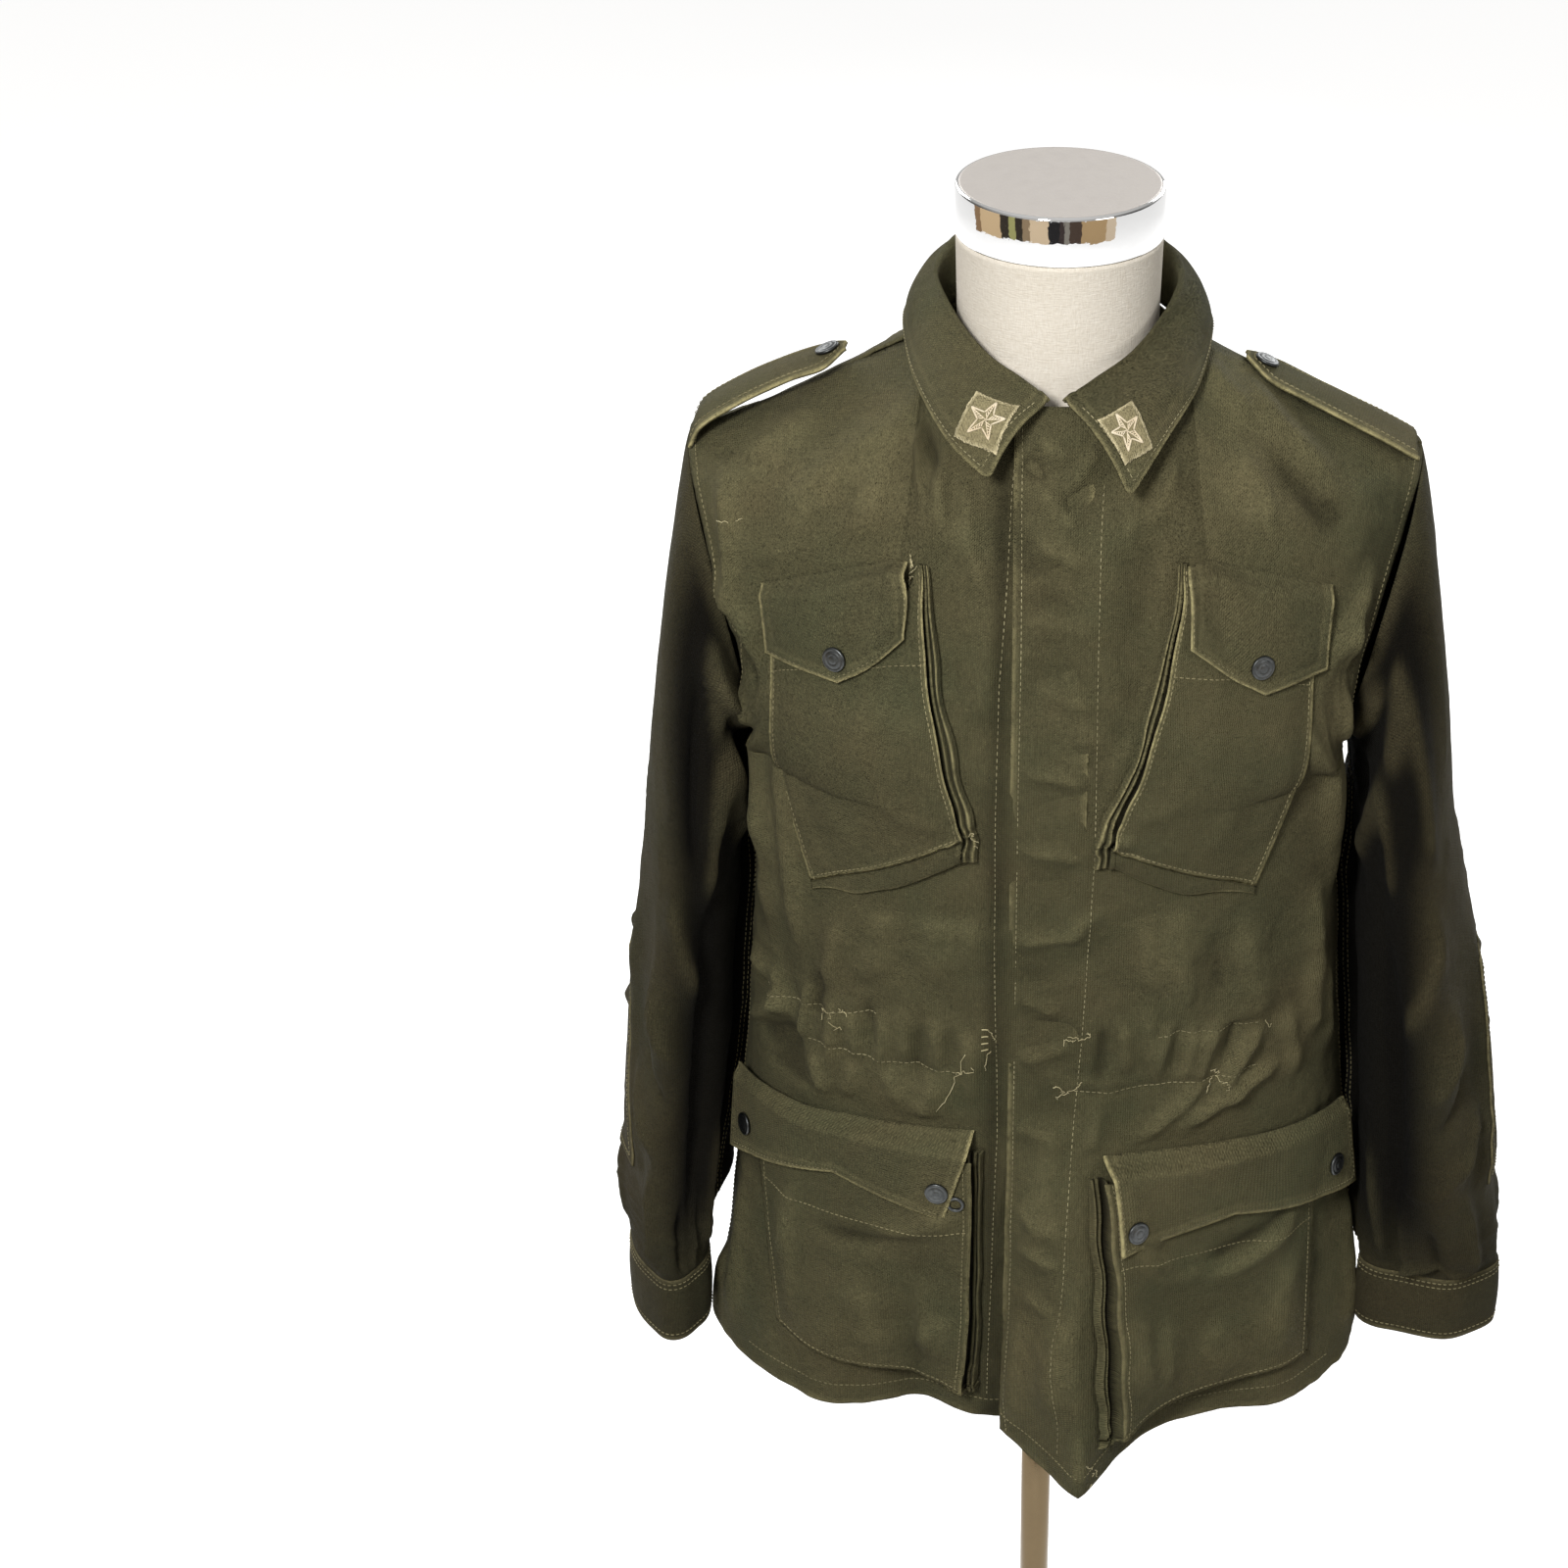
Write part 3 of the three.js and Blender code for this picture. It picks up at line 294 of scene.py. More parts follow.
class Body:
    """A face of the body as a grid: rows of heights, and columns of shares from one side to the other."""

    def __init__(self, face, step):
        self.ups = np.linspace(HEM, TOP[face], int((TOP[face] - HEM) / step) + 1)
        count = int(HALF_PANEL / step)
        rows = [skin_row(face, np.linspace(0, 1, count + 1), up) for up in self.ups]
        half = np.array([row for row, _ in rows])
        self.count = count
        self.lengths = np.array([length for _, length in rows])
        self.points = np.concatenate([half, half[:, -2::-1] * (-1, 1, 1)], axis=1)

    def length(self, up):
        return np.interp(up, self.ups, self.lengths)


# Large folds of each panel, as in the solids: across, up, to across, to up, width, rise, to rise, power
FOLDS = {
    "left": [
        (20, 740, 25, 470, 34, 0, 82, 1.4),
        (-26, 660, -28, 470, 16, 0, -11, 2),
        (150, 700, 165, 480, 26, 0, 9, 2),
        (60, 1160, 150, 1050, 13, 5, 0, 2),
        (95, 905, 60, 800, 20, 0, 4, 2),
    ],
    "right": [
        (76, 680, 80, 480, 26, 0, -17, 2),
        (130, 700, 142, 480, 24, 0, 7, 2),
        (60, 1160, 140, 1040, 13, 5, 0, 2),
        (120, 900, 150, 740, 18, 3, 4, 2),
    ],
    "back": [
        (70, 1130, 96, 900, 24, 7, 4, 2),
        (-78, 1120, -92, 880, 24, 7, 4, 2),
        (40, 720, 46, 480, 28, 0, 14, 2),
        (-66, 700, -76, 480, 30, 0, 13, 2),
        (132, 720, 150, 480, 26, 0, 10, 2),
        (-140, 700, -158, 480, 26, 0, 9, 2),
    ],
}


def fold_rise(rows, a, up):
    rise = np.zeros(np.broadcast(a, up).shape)
    for from_a, from_up, to_a, to_up, width, start, end, power in rows:
        run_a, run_up = to_a - from_a, to_up - from_up
        long = math.hypot(run_a, run_up)
        t = ((a - from_a) * run_a + (up - from_up) * run_up) / long**2
        off = ((a - from_a) * run_up - (up - from_up) * run_a) / long
        ends = smooth(t, -0.1, 0.25) * (1 - smooth(t, 0.95, 1.25))
        rise += lerp(start, end, np.clip(t, 0, 1)) * ends * np.exp(-(np.abs(off / width) ** power))
    return rise


# Pockets and flaps: places on a panel, across from the centre line and up
POCKETS = {
    "chest_right": {
        "bottomInner": (49, 945),
        "bottomOuter": (149, 889),
        "topInner": (84, 1080),
        "topOuter": (215, 1074),
        "flapTop": ((103, 1099), (165, 1097), (224, 1094)),
        "flapLow": ((95, 1067), (137, 1043), (209, 1058)),
        "flapGap": 2.6,
        "snaps": ((143, 1057, 0.7),),
    },
    "chest_left": {
        "bottomInner": (35, 942),
        "bottomOuter": (128, 899),
        "topInner": (82, 1082),
        "topOuter": (196, 1076),
        "flapTop": ((93, 1101), (153, 1100), (213, 1098)),
        "flapLow": ((87, 1065), (138, 1040), (197, 1054)),
        "flapGap": 2.2,
        "snaps": ((140, 1057, 0.8),),
    },
    "lower_right": {
        "bottomInner": (43, 523),
        "bottomOuter": (178, 540),
        "topInner": (41, 708),
        "topOuter": (205, 696),
        "flapTop": ((42, 725), (128, 722), (224, 712)),
        "flapLow": ((58, 666), (127, 684), (222, 652)),
        "flapGap": 1,
        "snaps": ((62, 687, 0.5), (204, 679, 0.5)),
    },
    "lower_left": {
        "bottomInner": (38, 521),
        "bottomOuter": (180, 524),
        "topInner": (33, 696),
        "topOuter": (190, 688),
        "flapTop": ((37, 711), (122, 709), (215, 701)),
        "flapLow": ((37, 650), (118, 661), (224, 633)),
        "flapGap": 1.5,
        "snaps": ((47, 665, 1.1), (200, 660, 0.1)),
    },
}
# Each kind of pocket: how deep its inner side stands and how far its flap leans out; how much of the
# bellows' fold shows beside it, how far it goes on under its flap as a share of its height, and how wide
# its foot is; how much its folds and the edges of its face are rubbed; how strongly its creases show
KINDS = {
    "chest": {
        "deep": 9, "flapOff": 0, "beside": 1.0, "above": 0.15, "foot": 1.15,
        "pleatWear": 0.8, "faceWear": 1.6, "relief": 0.35,
    },
    "lower": {
        "deep": 15, "flapOff": 6, "beside": 0.7, "above": 0.01, "foot": 0.4,
        "pleatWear": 0.15, "faceWear": 0.45, "relief": 0.8,
    },
}
for pocket_name, pocket_spec in POCKETS.items():
    pocket_kind, pocket_spec["panel"] = pocket_name.split("_")
    pocket_spec.update(KINDS[pocket_kind])
POCKET_GAP = 1.7
POCKET_CLOTH = 1.6
LAID_GAP = 0.9


def within(spec, s, t):
    low = [lerp(a, b, s) for a, b in zip(spec["bottomInner"], spec["bottomOuter"])]
    high = [lerp(a, b, s) for a, b in zip(spec["topInner"], spec["topOuter"])]
    return [lerp(a, b, t) for a, b in zip(low, high)]


def pocket_edges(spec, up):
    """How far across a pocket's inner and outer edges are at a height."""
    t = (up - spec["bottomInner"][1]) / (spec["topInner"][1] - spec["bottomInner"][1])
    inner = lerp(spec["bottomInner"][0], spec["topInner"][0], t)
    return inner, lerp(spec["bottomOuter"][0], spec["topOuter"][0], t)


def under_pockets(panel, a, up):
    """1 where a pocket or flap covers a panel, and 0 elsewhere."""
    covered = np.zeros(np.broadcast(a, up).shape)
    for spec in POCKETS.values():
        if spec["panel"] != panel:
            continue
        inner, outer = pocket_edges(spec, up)
        inside = smooth(a, inner - 16, inner - 4) * (1 - smooth(a, outer, outer + 12))
        high = spec["flapTop"][0][1]
        low = min(spec["bottomInner"][1], spec["bottomOuter"][1])
        between = smooth(up, low - 16, low - 4) * (1 - smooth(up, high, high + 8))
        covered = np.maximum(covered, inside * between)
    return covered


# Creases of each panel: across, up, to across, to up, width, height, bend
CREASES = {
    "right": [
        (255, 1156, 262, 1080, 8, 3.0, 3), (284, 1096, 222, 1050, 8, 3.4, 5),
        (276, 1066, 226, 1034, 7, -2.4, 3), (272, 1040, 232, 1000, 9, 2.6, -3),
        (178, 985, 166, 824, 10, 3.0, 2), (213, 1010, 189, 880, 11, 3.2, -4),
        (200, 930, 206, 830, 12, 2.4, 4), (98, 888, 110, 826, 9, 1.8, 2), (64, 908, 68, 835, 9, 2.0, 0),
        (48, 918, 44, 846, 7, 1.6, 0), (128, 870, 140, 812, 8, 1.6, -2), (122, 1153, 92, 1128, 8, 2.0, 2),
        (104, 1164, 76, 1142, 6, -1.6, 1), (57, 1146, 50, 1110, 6, 1.6, 1), (66, 1126, 38, 1090, 8, 2.0, 2),
        (80, 1150, 69, 1108, 7, 1.6, 0), (209, 1126, 122, 1158, 12, 2.2, 4),
        (246, 1150, 190, 1168, 10, 2.0, 2), (144, 1143, 148, 1108, 12, 1.6, 0),
        (36, 1090, 40, 1020, 8, 1.6, 0), (33, 1004, 27, 905, 6, 1.8, 0), (31, 886, 26, 776, 7, 2.0, 1),
        (27, 724, 31, 606, 7, 2.0, 0), (34, 600, 30, 505, 8, 2.0, 0), (228, 800, 168, 776, 7, 2.6, 3),
        (232, 778, 176, 792, 5, -2.0, 2), (226, 748, 172, 787, 6, 2.4, -3), (214, 744, 158, 764, 6, -1.8, 2),
        (190, 806, 178, 772, 6, 2.2, 0), (157, 806, 162, 760, 5, 2.2, 1), (146, 822, 150, 788, 5, -1.4, 0),
        (135, 806, 138, 752, 5, 2.0, 0), (124, 800, 120, 764, 4, 1.8, 1), (112, 812, 108, 772, 5, -1.5, 0),
        (101, 804, 104, 758, 5, 2.1, 1), (89, 812, 86, 770, 5, 1.9, 0), (78, 798, 80, 752, 4, -1.4, 0),
        (69, 806, 63, 762, 5, 2.0, 0), (57, 800, 60, 764, 4, -1.3, 0), (48, 800, 44, 744, 5, 2.0, 1),
        (40, 812, 37, 770, 4, 1.3, 0), (67, 762, 78, 728, 7, 2.4, 2), (99, 762, 91, 736, 6, 1.8, 0),
        (120, 760, 128, 732, 6, 1.8, 0), (150, 762, 142, 728, 7, 2.0, 0), (246, 560, 256, 482, 10, 3.4, 2),
        (222, 640, 232, 500, 12, 2.6, 3),
    ],
    "left": [
        (-8, 1156, 16, 1126, 5, 1.9, 1), (-17, 1166, 0, 1148, 5, -1.5, 1), (-12, 1178, 8, 1163, 5, 1.8, 0),
        (26, 1170, 9, 1146, 5, 1.7, 1), (4, 1140, 22, 1150, 4, -1.2, 0), (-18, 1136, 2, 1112, 5, 1.5, 0),
        (-12, 1120, 24, 1109, 5, 1.3, 1), (-15, 1078, 27, 1070, 5, 1.1, -1), (-8, 1040, 27, 1030, 5, 1.2, 1),
        (-16, 988, 25, 981, 5, 1.5, 1), (-14, 960, 24, 964, 5, -1.2, 0), (-18, 934, 25, 926, 5, 1.6, -1),
        (-16, 902, 20, 908, 5, -1.2, 0), (-20, 868, 23, 876, 5, 1.7, 1), (-18, 829, 10, 815, 5, 1.5, 0),
        (-8, 806, 18, 800, 5, -1.2, 0), (-16, 781, 18, 791, 5, 1.6, 1), (-21, 730, 14, 719, 6, 1.6, 0),
        (-17, 674, 15, 657, 6, 1.5, 1), (-14, 645, 12, 636, 5, 1.3, 0), (-10, 610, 8, 604, 5, 1.2, 0),
        (-14, 1160, 20, 1098, 8, 1.5, 1), (34, 1150, 24, 1060, 9, 1.1, 0), (14, 1040, 24, 1000, 8, 1.2, 0),
        (46, 1010, 42, 940, 8, 1.5, 0), (130, 1184, 160, 1164, 7, 2.4, 1), (150, 1184, 221, 1148, 9, 2.8, 3),
        (172, 1156, 226, 1128, 9, -2.0, 3), (249, 1080, 196, 1047, 10, 3.2, 4),
        (260, 1104, 226, 1052, 9, 2.8, 3), (240, 1046, 214, 1000, 10, 2.4, -3),
        (174, 1022, 197, 888, 11, 3.0, -3), (206, 980, 212, 850, 12, 2.6, 4), (37, 912, 15, 869, 7, 2.4, 1),
        (27, 888, 50, 914, 6, 1.8, 0), (60, 884, 66, 828, 8, 1.6, 0), (124, 870, 144, 794, 11, 2.4, 2),
        (79, 892, 88, 808, 10, 2.2, 0), (104, 868, 112, 812, 9, -1.4, 0), (62, 822, 68, 772, 5, 2.2, 0),
        (48, 812, 52, 768, 5, 1.8, 0), (37, 806, 34, 762, 4, -1.4, 0), (76, 808, 70, 760, 5, 2.2, 1),
        (84, 800, 82, 764, 4, -1.4, 0), (92, 804, 87, 757, 5, 2.2, 0), (109, 802, 95, 752, 6, 2.4, 1),
        (122, 798, 114, 762, 4, -1.6, 0), (142, 790, 111, 744, 7, 3.0, 2), (155, 756, 115, 738, 6, 2.6, 2),
        (126, 746, 86, 723, 6, 2.4, 1), (104, 760, 57, 714, 6, 2.2, -1), (160, 796, 171, 738, 8, 2.2, 0),
        (182, 820, 190, 760, 9, 2.2, 0), (206, 806, 214, 740, 9, 2.4, 2), (34, 748, 28, 696, 6, 1.6, 0),
        (183, 880, 196, 792, 11, 2.4, 2), (9, 734, -5, 632, 9, 2.4, 2), (19, 610, 6, 532, 9, 3.0, 2),
        (-12, 590, -16, 500, 7, 1.8, 0), (27, 532, 24, 494, 7, 1.8, 0), (44, 1112, 54, 1156, 9, 1.8, 0),
        (54, 1122, 84, 1152, 8, 1.8, 2), (172, 1122, 146, 1148, 9, 2.0, 2), (232, 640, 244, 500, 12, 2.8, 3),
    ],
    "back": [
        (248, 1090, 190, 1040, 10, 3.2, 5), (258, 1060, 206, 990, 11, 3.0, 6),
        (-246, 1096, -196, 1050, 10, 3.0, -5), (-256, 1050, -200, 984, 10, 3.2, -6),
        (120, 1180, 196, 1140, 11, 2.6, 4), (-118, 1184, -190, 1146, 10, 2.6, -4),
        (30, 1170, 12, 1080, 12, 2.0, 3), (-42, 1166, -30, 1070, 11, -1.8, 3),
        (150, 1010, 164, 840, 12, 3.0, 4), (-156, 1020, -172, 850, 12, 3.0, -4),
        (60, 960, 50, 830, 12, 2.4, 4), (-20, 980, -10, 820, 11, 2.0, -3),
        (-104, 940, -112, 820, 10, 2.2, 2), (100, 900, 108, 812, 9, 1.8, 0), (-64, 900, -58, 816, 9, 1.8, 0),
        (210, 900, 222, 790, 11, 2.4, 3), (-214, 910, -226, 796, 11, 2.6, -3),
        (190, 740, 204, 520, 12, 2.8, 4), (-186, 730, -206, 530, 12, 2.8, -4),
        (100, 700, 96, 540, 12, 2.2, 3), (-20, 720, -16, 520, 13, 2.4, -4),
        (-120, 690, -128, 530, 11, 2.0, 3), (4, 660, 12, 500, 10, -1.8, 0),
    ],
}
CREASE_SCALE = 2.8
# The drawstring channel inside the waist: its upper and lower stitch lines on each panel
CHANNEL = {
    "right": {"upper": [(226, 779), (170, 789), (103, 802)], "lower": [(155, 767), (121, 769), (52, 767)]},
    "left": {"upper": [(68, 800), (141, 791)], "lower": [(15, 757), (41, 754), (77, 759), (140, 759)]},
    "back": {"upper": [(-226, 792), (226, 792)], "lower": [(-226, 762), (226, 762)]},
}
# Small gathers of the back at the channel, drawn in at uneven steps
BACK_GATHERS = {
    "count": 34, "reach": 218, "middle": 777, "long": (30, 58), "wide": (4, 6.5), "high": (1.3, 2.3),
}


def back_gathers():
    random = np.random.default_rng(61)
    rows = []
    for i in range(BACK_GATHERS["count"]):
        a = lerp(-1, 1, (i + random.uniform(0.2, 0.8)) / BACK_GATHERS["count"]) * BACK_GATHERS["reach"]
        long = random.uniform(*BACK_GATHERS["long"])
        middle = BACK_GATHERS["middle"] + random.uniform(-9, 9)
        lean = random.uniform(-7, 7)
        height = random.uniform(*BACK_GATHERS["high"]) * (1 if i % 2 else -0.7)
        width = random.uniform(*BACK_GATHERS["wide"])
        rows.append((a, middle + long / 2, a + lean, middle - long / 2, width, height, 0))
    return rows


CREASES["back"] += back_gathers()


def line_dents(lines, a, up, width, depth):
    """The rise of narrow dents along stitch lines."""
    rows = []
    for line in lines:
        for start, end in zip(line[:-1], line[1:]):
            rows.append((*start, *end, width, -depth, 0))
    return creases(rows, a, up)


# The dent along each line of the channel, and the first seed of each panel's noise
CHANNEL_DENT = {"width": 3.0, "depth": 1.6}
PANEL_SEED = {"left": 10, "right": 30, "back": 50}


def fine_rise(name, a, up):
    """Small creases and crumples of a panel, left out where a pocket covers it."""
    seed = PANEL_SEED[name]
    rise = CREASE_SCALE * creases(CREASES[name], a, up)
    rise += line_dents(CHANNEL[name].values(), a, up, **CHANNEL_DENT)
    rise += 0.9 * crumple(a, up, 58, seed) + 0.4 * crumple(a, up, 27, seed + 20)
    rise += 1.5 * noise(a, up, 60, 150, seed + 7)
    hem = 1 - smooth(up, HEM + 8, HEM + 26)
    rise += 0.5 * hem * noise(a, up, 9, 30, seed + 9)
    if name == "left":
        rise += 0.4 * bump_at(a, 29, 3.5) * noise(a, up, 30, 11, seed + 11)
    if name != "back":
        rise *= 1 - under_pockets(name, a, up)
    return rise


class Panel:
    """A front or the back with its folds. Across is measured from the centre line to its own side."""

    def __init__(self, name, face, side, step):
        body = Body(face, step)
        self.body = body
        self.side = side
        self.out = side if face == "front" else -1
        count = body.count
        columns = np.arange(2 * count + 1)
        up = body.ups[:, None]
        a = (1 - columns / count)[None, :] * body.lengths[:, None]
        rise = fold_rise(FOLDS[name], a, up)
        if name == "left":
            rise = rise + PLACKET["lift"] * (1 - smooth(a, PLACKET["from"], PLACKET["to"]))
        normals = grid_normals(body.points, 1 if face == "front" else -1)
        plain = body.points + normals * rise[..., None]
        plain[..., 1] += SIGN[face] * SEAM_GAP
        plain[..., 0] *= side
        self.plain = plain
        self.plain_normals = grid_normals(plain, self.out)
        self.across = a
        self.up = np.broadcast_to(up, a.shape)
        self.fine = fine_rise(name, a, up)
        self.points = plain + self.plain_normals * self.fine[..., None]
        self.normals = grid_normals(self.points, self.out)

    def on(self, a, up, lift=0.0, plain=True):
        """A point this far off the panel, at a distance across from the centre line and a height."""
        a, up, lift = np.broadcast_arrays(*(np.asarray(x, float) for x in (a, up, lift)))
        row = (up - HEM) / (self.body.ups[1] - HEM)
        column = (1 - a / self.body.length(up)) * self.body.count
        points, normals = self.plain, self.plain_normals
        if not plain:
            points, normals = self.points, self.normals
        return look_up(points, row, column) + look_up(normals, row, column) * lift[..., None]


# The steps of the fronts' grids and of the back's
FRONT_STEP, BACK_STEP = 2.8, 3.9
PANELS = {name: Panel(name, "front", side, FRONT_STEP) for name, side in SIDES.items()}
PANELS["back"] = Panel("back", "back", 1, BACK_STEP)


# Making meshes
def to_frame(points):
    out = np.asarray(points, float) * MM
    out[..., 0] += AXIS.x
    out[..., 1] += AXIS.y
    return out


def build(name, points, faces, look, uv=None, wear_and_shade=None, replaces=()):
    mesh = bpy.data.meshes.new(name)
    mesh.from_pydata(to_frame(points).tolist(), [], [tuple(face) for face in faces])
    mesh.materials.append(look)
    mesh.shade_smooth()
    if uv is not None:
        layer = mesh.uv_layers.new(name="cloth")
        loops = np.zeros(len(mesh.loops), np.int32)
        mesh.loops.foreach_get("vertex_index", loops)
        layer.uv.foreach_set("vector", (np.asarray(uv, float)[loops] * MM).astype(np.float32).ravel())
    if wear_and_shade is not None:
        mesh.attributes.new("wear_and_shade", "FLOAT", "POINT").data.foreach_set("value", wear_and_shade.astype(np.float32))
    mesh.update()
    piece = bpy.data.objects.new(name, mesh)
    bpy.context.scene.collection.objects.link(piece)
    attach(piece, "root")
    if replaces:
        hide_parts(*replaces)


def shell(name, points, out, thickness, look, uv, wear_and_shade, ring=False, replaces=()):
    """A sheet of cloth with a thickness, from a grid of points on its outside."""
    rows, columns = points.shape[:2]
    inner = points - grid_normals(points, out, ring) * thickness
    index = np.arange(rows * columns).reshape(rows, columns)
    if ring:
        index = np.concatenate([index, index[:, :1]], axis=1)
    a, b, c, d = index[:-1, :-1], index[:-1, 1:], index[1:, 1:], index[1:, :-1]
    outer_faces = np.stack([a, b, c, d], -1).reshape(-1, 4)
    count = rows * columns
    inner_faces = outer_faces[:, ::-1] + count
    low, high = index[0], index[-1]
    edges = [np.stack([low[:-1], low[:-1] + count, low[1:] + count, low[1:]], -1)]
    edges.append(np.stack([high[:-1], high[1:], high[1:] + count, high[:-1] + count], -1))
    if not ring:
        first, last = index[:, 0], index[:, -1]
        edges.append(np.stack([first[:-1], first[1:], first[1:] + count, first[:-1] + count], -1))
        edges.append(np.stack([last[:-1], last[:-1] + count, last[1:] + count, last[1:]], -1))
    faces = np.concatenate([outer_faces, inner_faces, *edges])
    if out > 0:
        faces = faces[:, ::-1]
    flat_uv = np.concatenate([uv.reshape(-1, 2)] * 2)
    # The attribute carries wear and painted shade, at half strength on the inside
    worn = np.concatenate([wear_and_shade.ravel(), wear_and_shade.ravel() * 0.5])
    both = np.concatenate([points.reshape(-1, 3), inner.reshape(-1, 3)])
    build(name, both, faces, look, flat_uv, worn, replaces)


def polyline(corners, step):
    """Places at even steps on straight lines through the corners, each a pair."""
    corners = np.asarray(corners, float)
    parts = [corners[:1]]
    for start, end in zip(corners[:-1], corners[1:]):
        count = max(int(np.linalg.norm(end - start) / step), 2)
        parts.append(lerp(start, end, np.linspace(0, 1, count + 1)[1:, None]))
    return np.concatenate(parts)


class Threads:
    """Many stitches and loose threads, made as one mesh."""

    def __init__(self):
        self.points = []
        self.faces = []
        self.count = 0

    def tube(self, path, radii, sides=4):
        path = np.asarray(path, float)
        run = np.gradient(path, axis=0)
        run /= np.linalg.norm(run, axis=-1, keepdims=True) + 1e-9
        aside = np.cross(run, (0.31, 0.53, 0.79))
        aside /= np.linalg.norm(aside, axis=-1, keepdims=True)
        other = np.cross(run, aside)
        turn = np.linspace(0, 2 * math.pi, sides, endpoint=False)
        ring = aside[:, None] * np.cos(turn)[:, None] + other[:, None] * np.sin(turn)[:, None]
        points = path[:, None] + ring * np.asarray(radii, float)[:, None, None]
        for i in range(len(path) - 1):
            for j in range(sides):
                k = (j + 1) % sides
                low, high = self.count + i * sides, self.count + (i + 1) * sides
                self.faces.append((low + j, low + k, high + k, high + j))
        self.faces.append(tuple(self.count + j for j in reversed(range(sides))))
        self.faces.append(tuple(self.count + (len(path) - 1) * sides + j for j in range(sides)))
        self.points.append(points.reshape(-1, 3))
        self.count += points.shape[0] * sides

    def stitches(self, line, normals, long=2.7, gap=0.9, thick=0.32):
        """A row of stitches along a line on cloth, each dipping in at its ends."""
        line = np.asarray(line, float)
        far = np.concatenate([[0], np.cumsum(np.linalg.norm(np.diff(line, axis=0), axis=-1))])
        starts = np.arange(0.3, far[-1] - long, long + gap)
        read = lambda values, at: np.stack([np.interp(at, far, values[:, k]) for k in range(3)], -1)
        shares = np.array([0, 0.25, 0.75, 1])
        lifts = np.array([-0.25, 0.22, 0.22, -0.25])
        for start in starts:
            at = start + shares * long
            path = read(line, at) + read(normals, at) * lifts[:, None]
            self.tube(path, thick * np.array([0.5, 1, 1, 0.5]))

    def build(self, name, look):
        build(name, np.concatenate(self.points), self.faces, look)


def thread_rows(threads, surface, corners, lift=0.0, **kinds):
    """Stitches along straight lines between places on a surface."""
    places = polyline(corners, 0.01)
    s, t = places[:, 0], places[:, 1]
    threads.stitches(surface.at(s, t, lift), surface.normal(s, t), **kinds)


def stitched(name, surface, corners, **kinds):
    """A piece of its own for stitches along straight lines between places on a surface."""
    threads = Threads()
    thread_rows(threads, surface, corners, **kinds)
    threads.build(name, SEAM_THREAD)


def grid_rows(threads, points, normals, corners, **kinds):
    """Stitches along straight lines between places on a grid, each a row and a column."""
    row, column = polyline(corners, 0.5).T
    threads.stitches(look_up(points, row, column), look_up(normals, row, column), **kinds)


def panel_rows(threads, panel, corners, **kinds):
    """Stitches along straight lines between places across and up a panel."""
    places = polyline(corners, 3)
    line = panel.on(places[:, 0], places[:, 1], 0, plain=False)
    lifted = panel.on(places[:, 0], places[:, 1], 1, plain=False)
    threads.stitches(line, lifted - line, **kinds)


# Materials
def colour(hexes):
    """A linear colour from an sRGB one written as three numbers, 0 to 255."""
    values = [c / 255 for c in hexes]
    return (*(c / 12.92 if c < 0.04045 else ((c + 0.055) / 1.055) ** 2.4 for c in values), 1)


def shade(tone, share):
    """A linear colour at a share of its brightness."""
    return (*(min(share * c, 1.0) for c in tone[:3]), 1)


class Nodes:
    """A short way to write a material's nodes."""

    def __init__(self, name):
        self.material = bpy.data.materials.new(name)
        self.material.use_nodes = True
        self.tree = self.material.node_tree
        self.shader = self.tree.nodes["Principled BSDF"]

    def add(self, kind, inputs=None, **settings):
        node = self.tree.nodes.new("ShaderNode" + kind)
        for key, value in settings.items():
            setattr(node, key, value)
        for key, value in (inputs or {}).items():
            self.join(value, node.inputs[key])
        return node

    def join(self, value, socket):
        if isinstance(value, bpy.types.NodeSocket):
            self.tree.links.new(value, socket)
        else:
            socket.default_value = value

    def mix(self, share, a, b, blend="MIX"):
        node = self.add("Mix", data_type="RGBA", blend_type=blend)
        self.join(share, node.inputs[0])
        self.join(a, node.inputs[6])
        self.join(b, node.inputs[7])
        return node.outputs[2]

    def tint(self, base, share, amount, tone):
        """The base with some of a tone over it, where the share is above 0."""
        return self.mix(self.math("MULTIPLY", share, amount), base, tone)

    def math(self, operation, a, b=0.0):
        node = self.add("Math", operation=operation)
        self.join(a, node.inputs[0])
        self.join(b, node.inputs[1])
        return node.outputs[0]

    def noise(self, vector, scale, detail=3.0, rough=0.55, low=0.35, high=0.65):
        """Noise stretched to a wider range between low and high."""
        grain = self.add("TexNoise", {"Vector": vector, "Scale": scale, "Detail": detail, "Roughness": rough})
        ranged = self.add("MapRange", {"Value": grain.outputs["Fac"], "From Min": low, "From Max": high})
        return ranged.outputs["Result"]

    def bump(self, height, distance, strength=1.0, under=None):
        inputs = {"Height": height, "Distance": distance, "Strength": strength}
        if under is not None:
            inputs["Normal"] = under
        return self.add("Bump", inputs).outputs["Normal"]

    def finish(self, **inputs):
        for key, value in inputs.items():
            self.join(value, self.shader.inputs[key.replace("_", " ")])
        return self.material


# The spacing of the twill's ribs on the cloth, in metres
WEAVE = 0.0011


def weave_heights(nodes):
    """A twill weave: fine slanting ribs broken by the crossing threads, in the cloth's own measure."""
    uv = nodes.add("UVMap", uv_map="cloth").outputs["UV"]
    turned = nodes.add("VectorRotate", {"Vector": uv, "Angle": 0.9}, rotation_type="Z_AXIS").outputs[0]
    ribs = nodes.add("TexWave", {"Vector": turned, "Scale": 0.32 / WEAVE, "Distortion": 0.6, "Detail": 1.0})
    threads = nodes.add("TexWave", {"Vector": uv, "Scale": 0.24 / WEAVE, "Distortion": 1.0, "Detail": 1.0})
    return uv, nodes.math("MULTIPLY", ribs.outputs["Fac"], threads.outputs["Fac"])


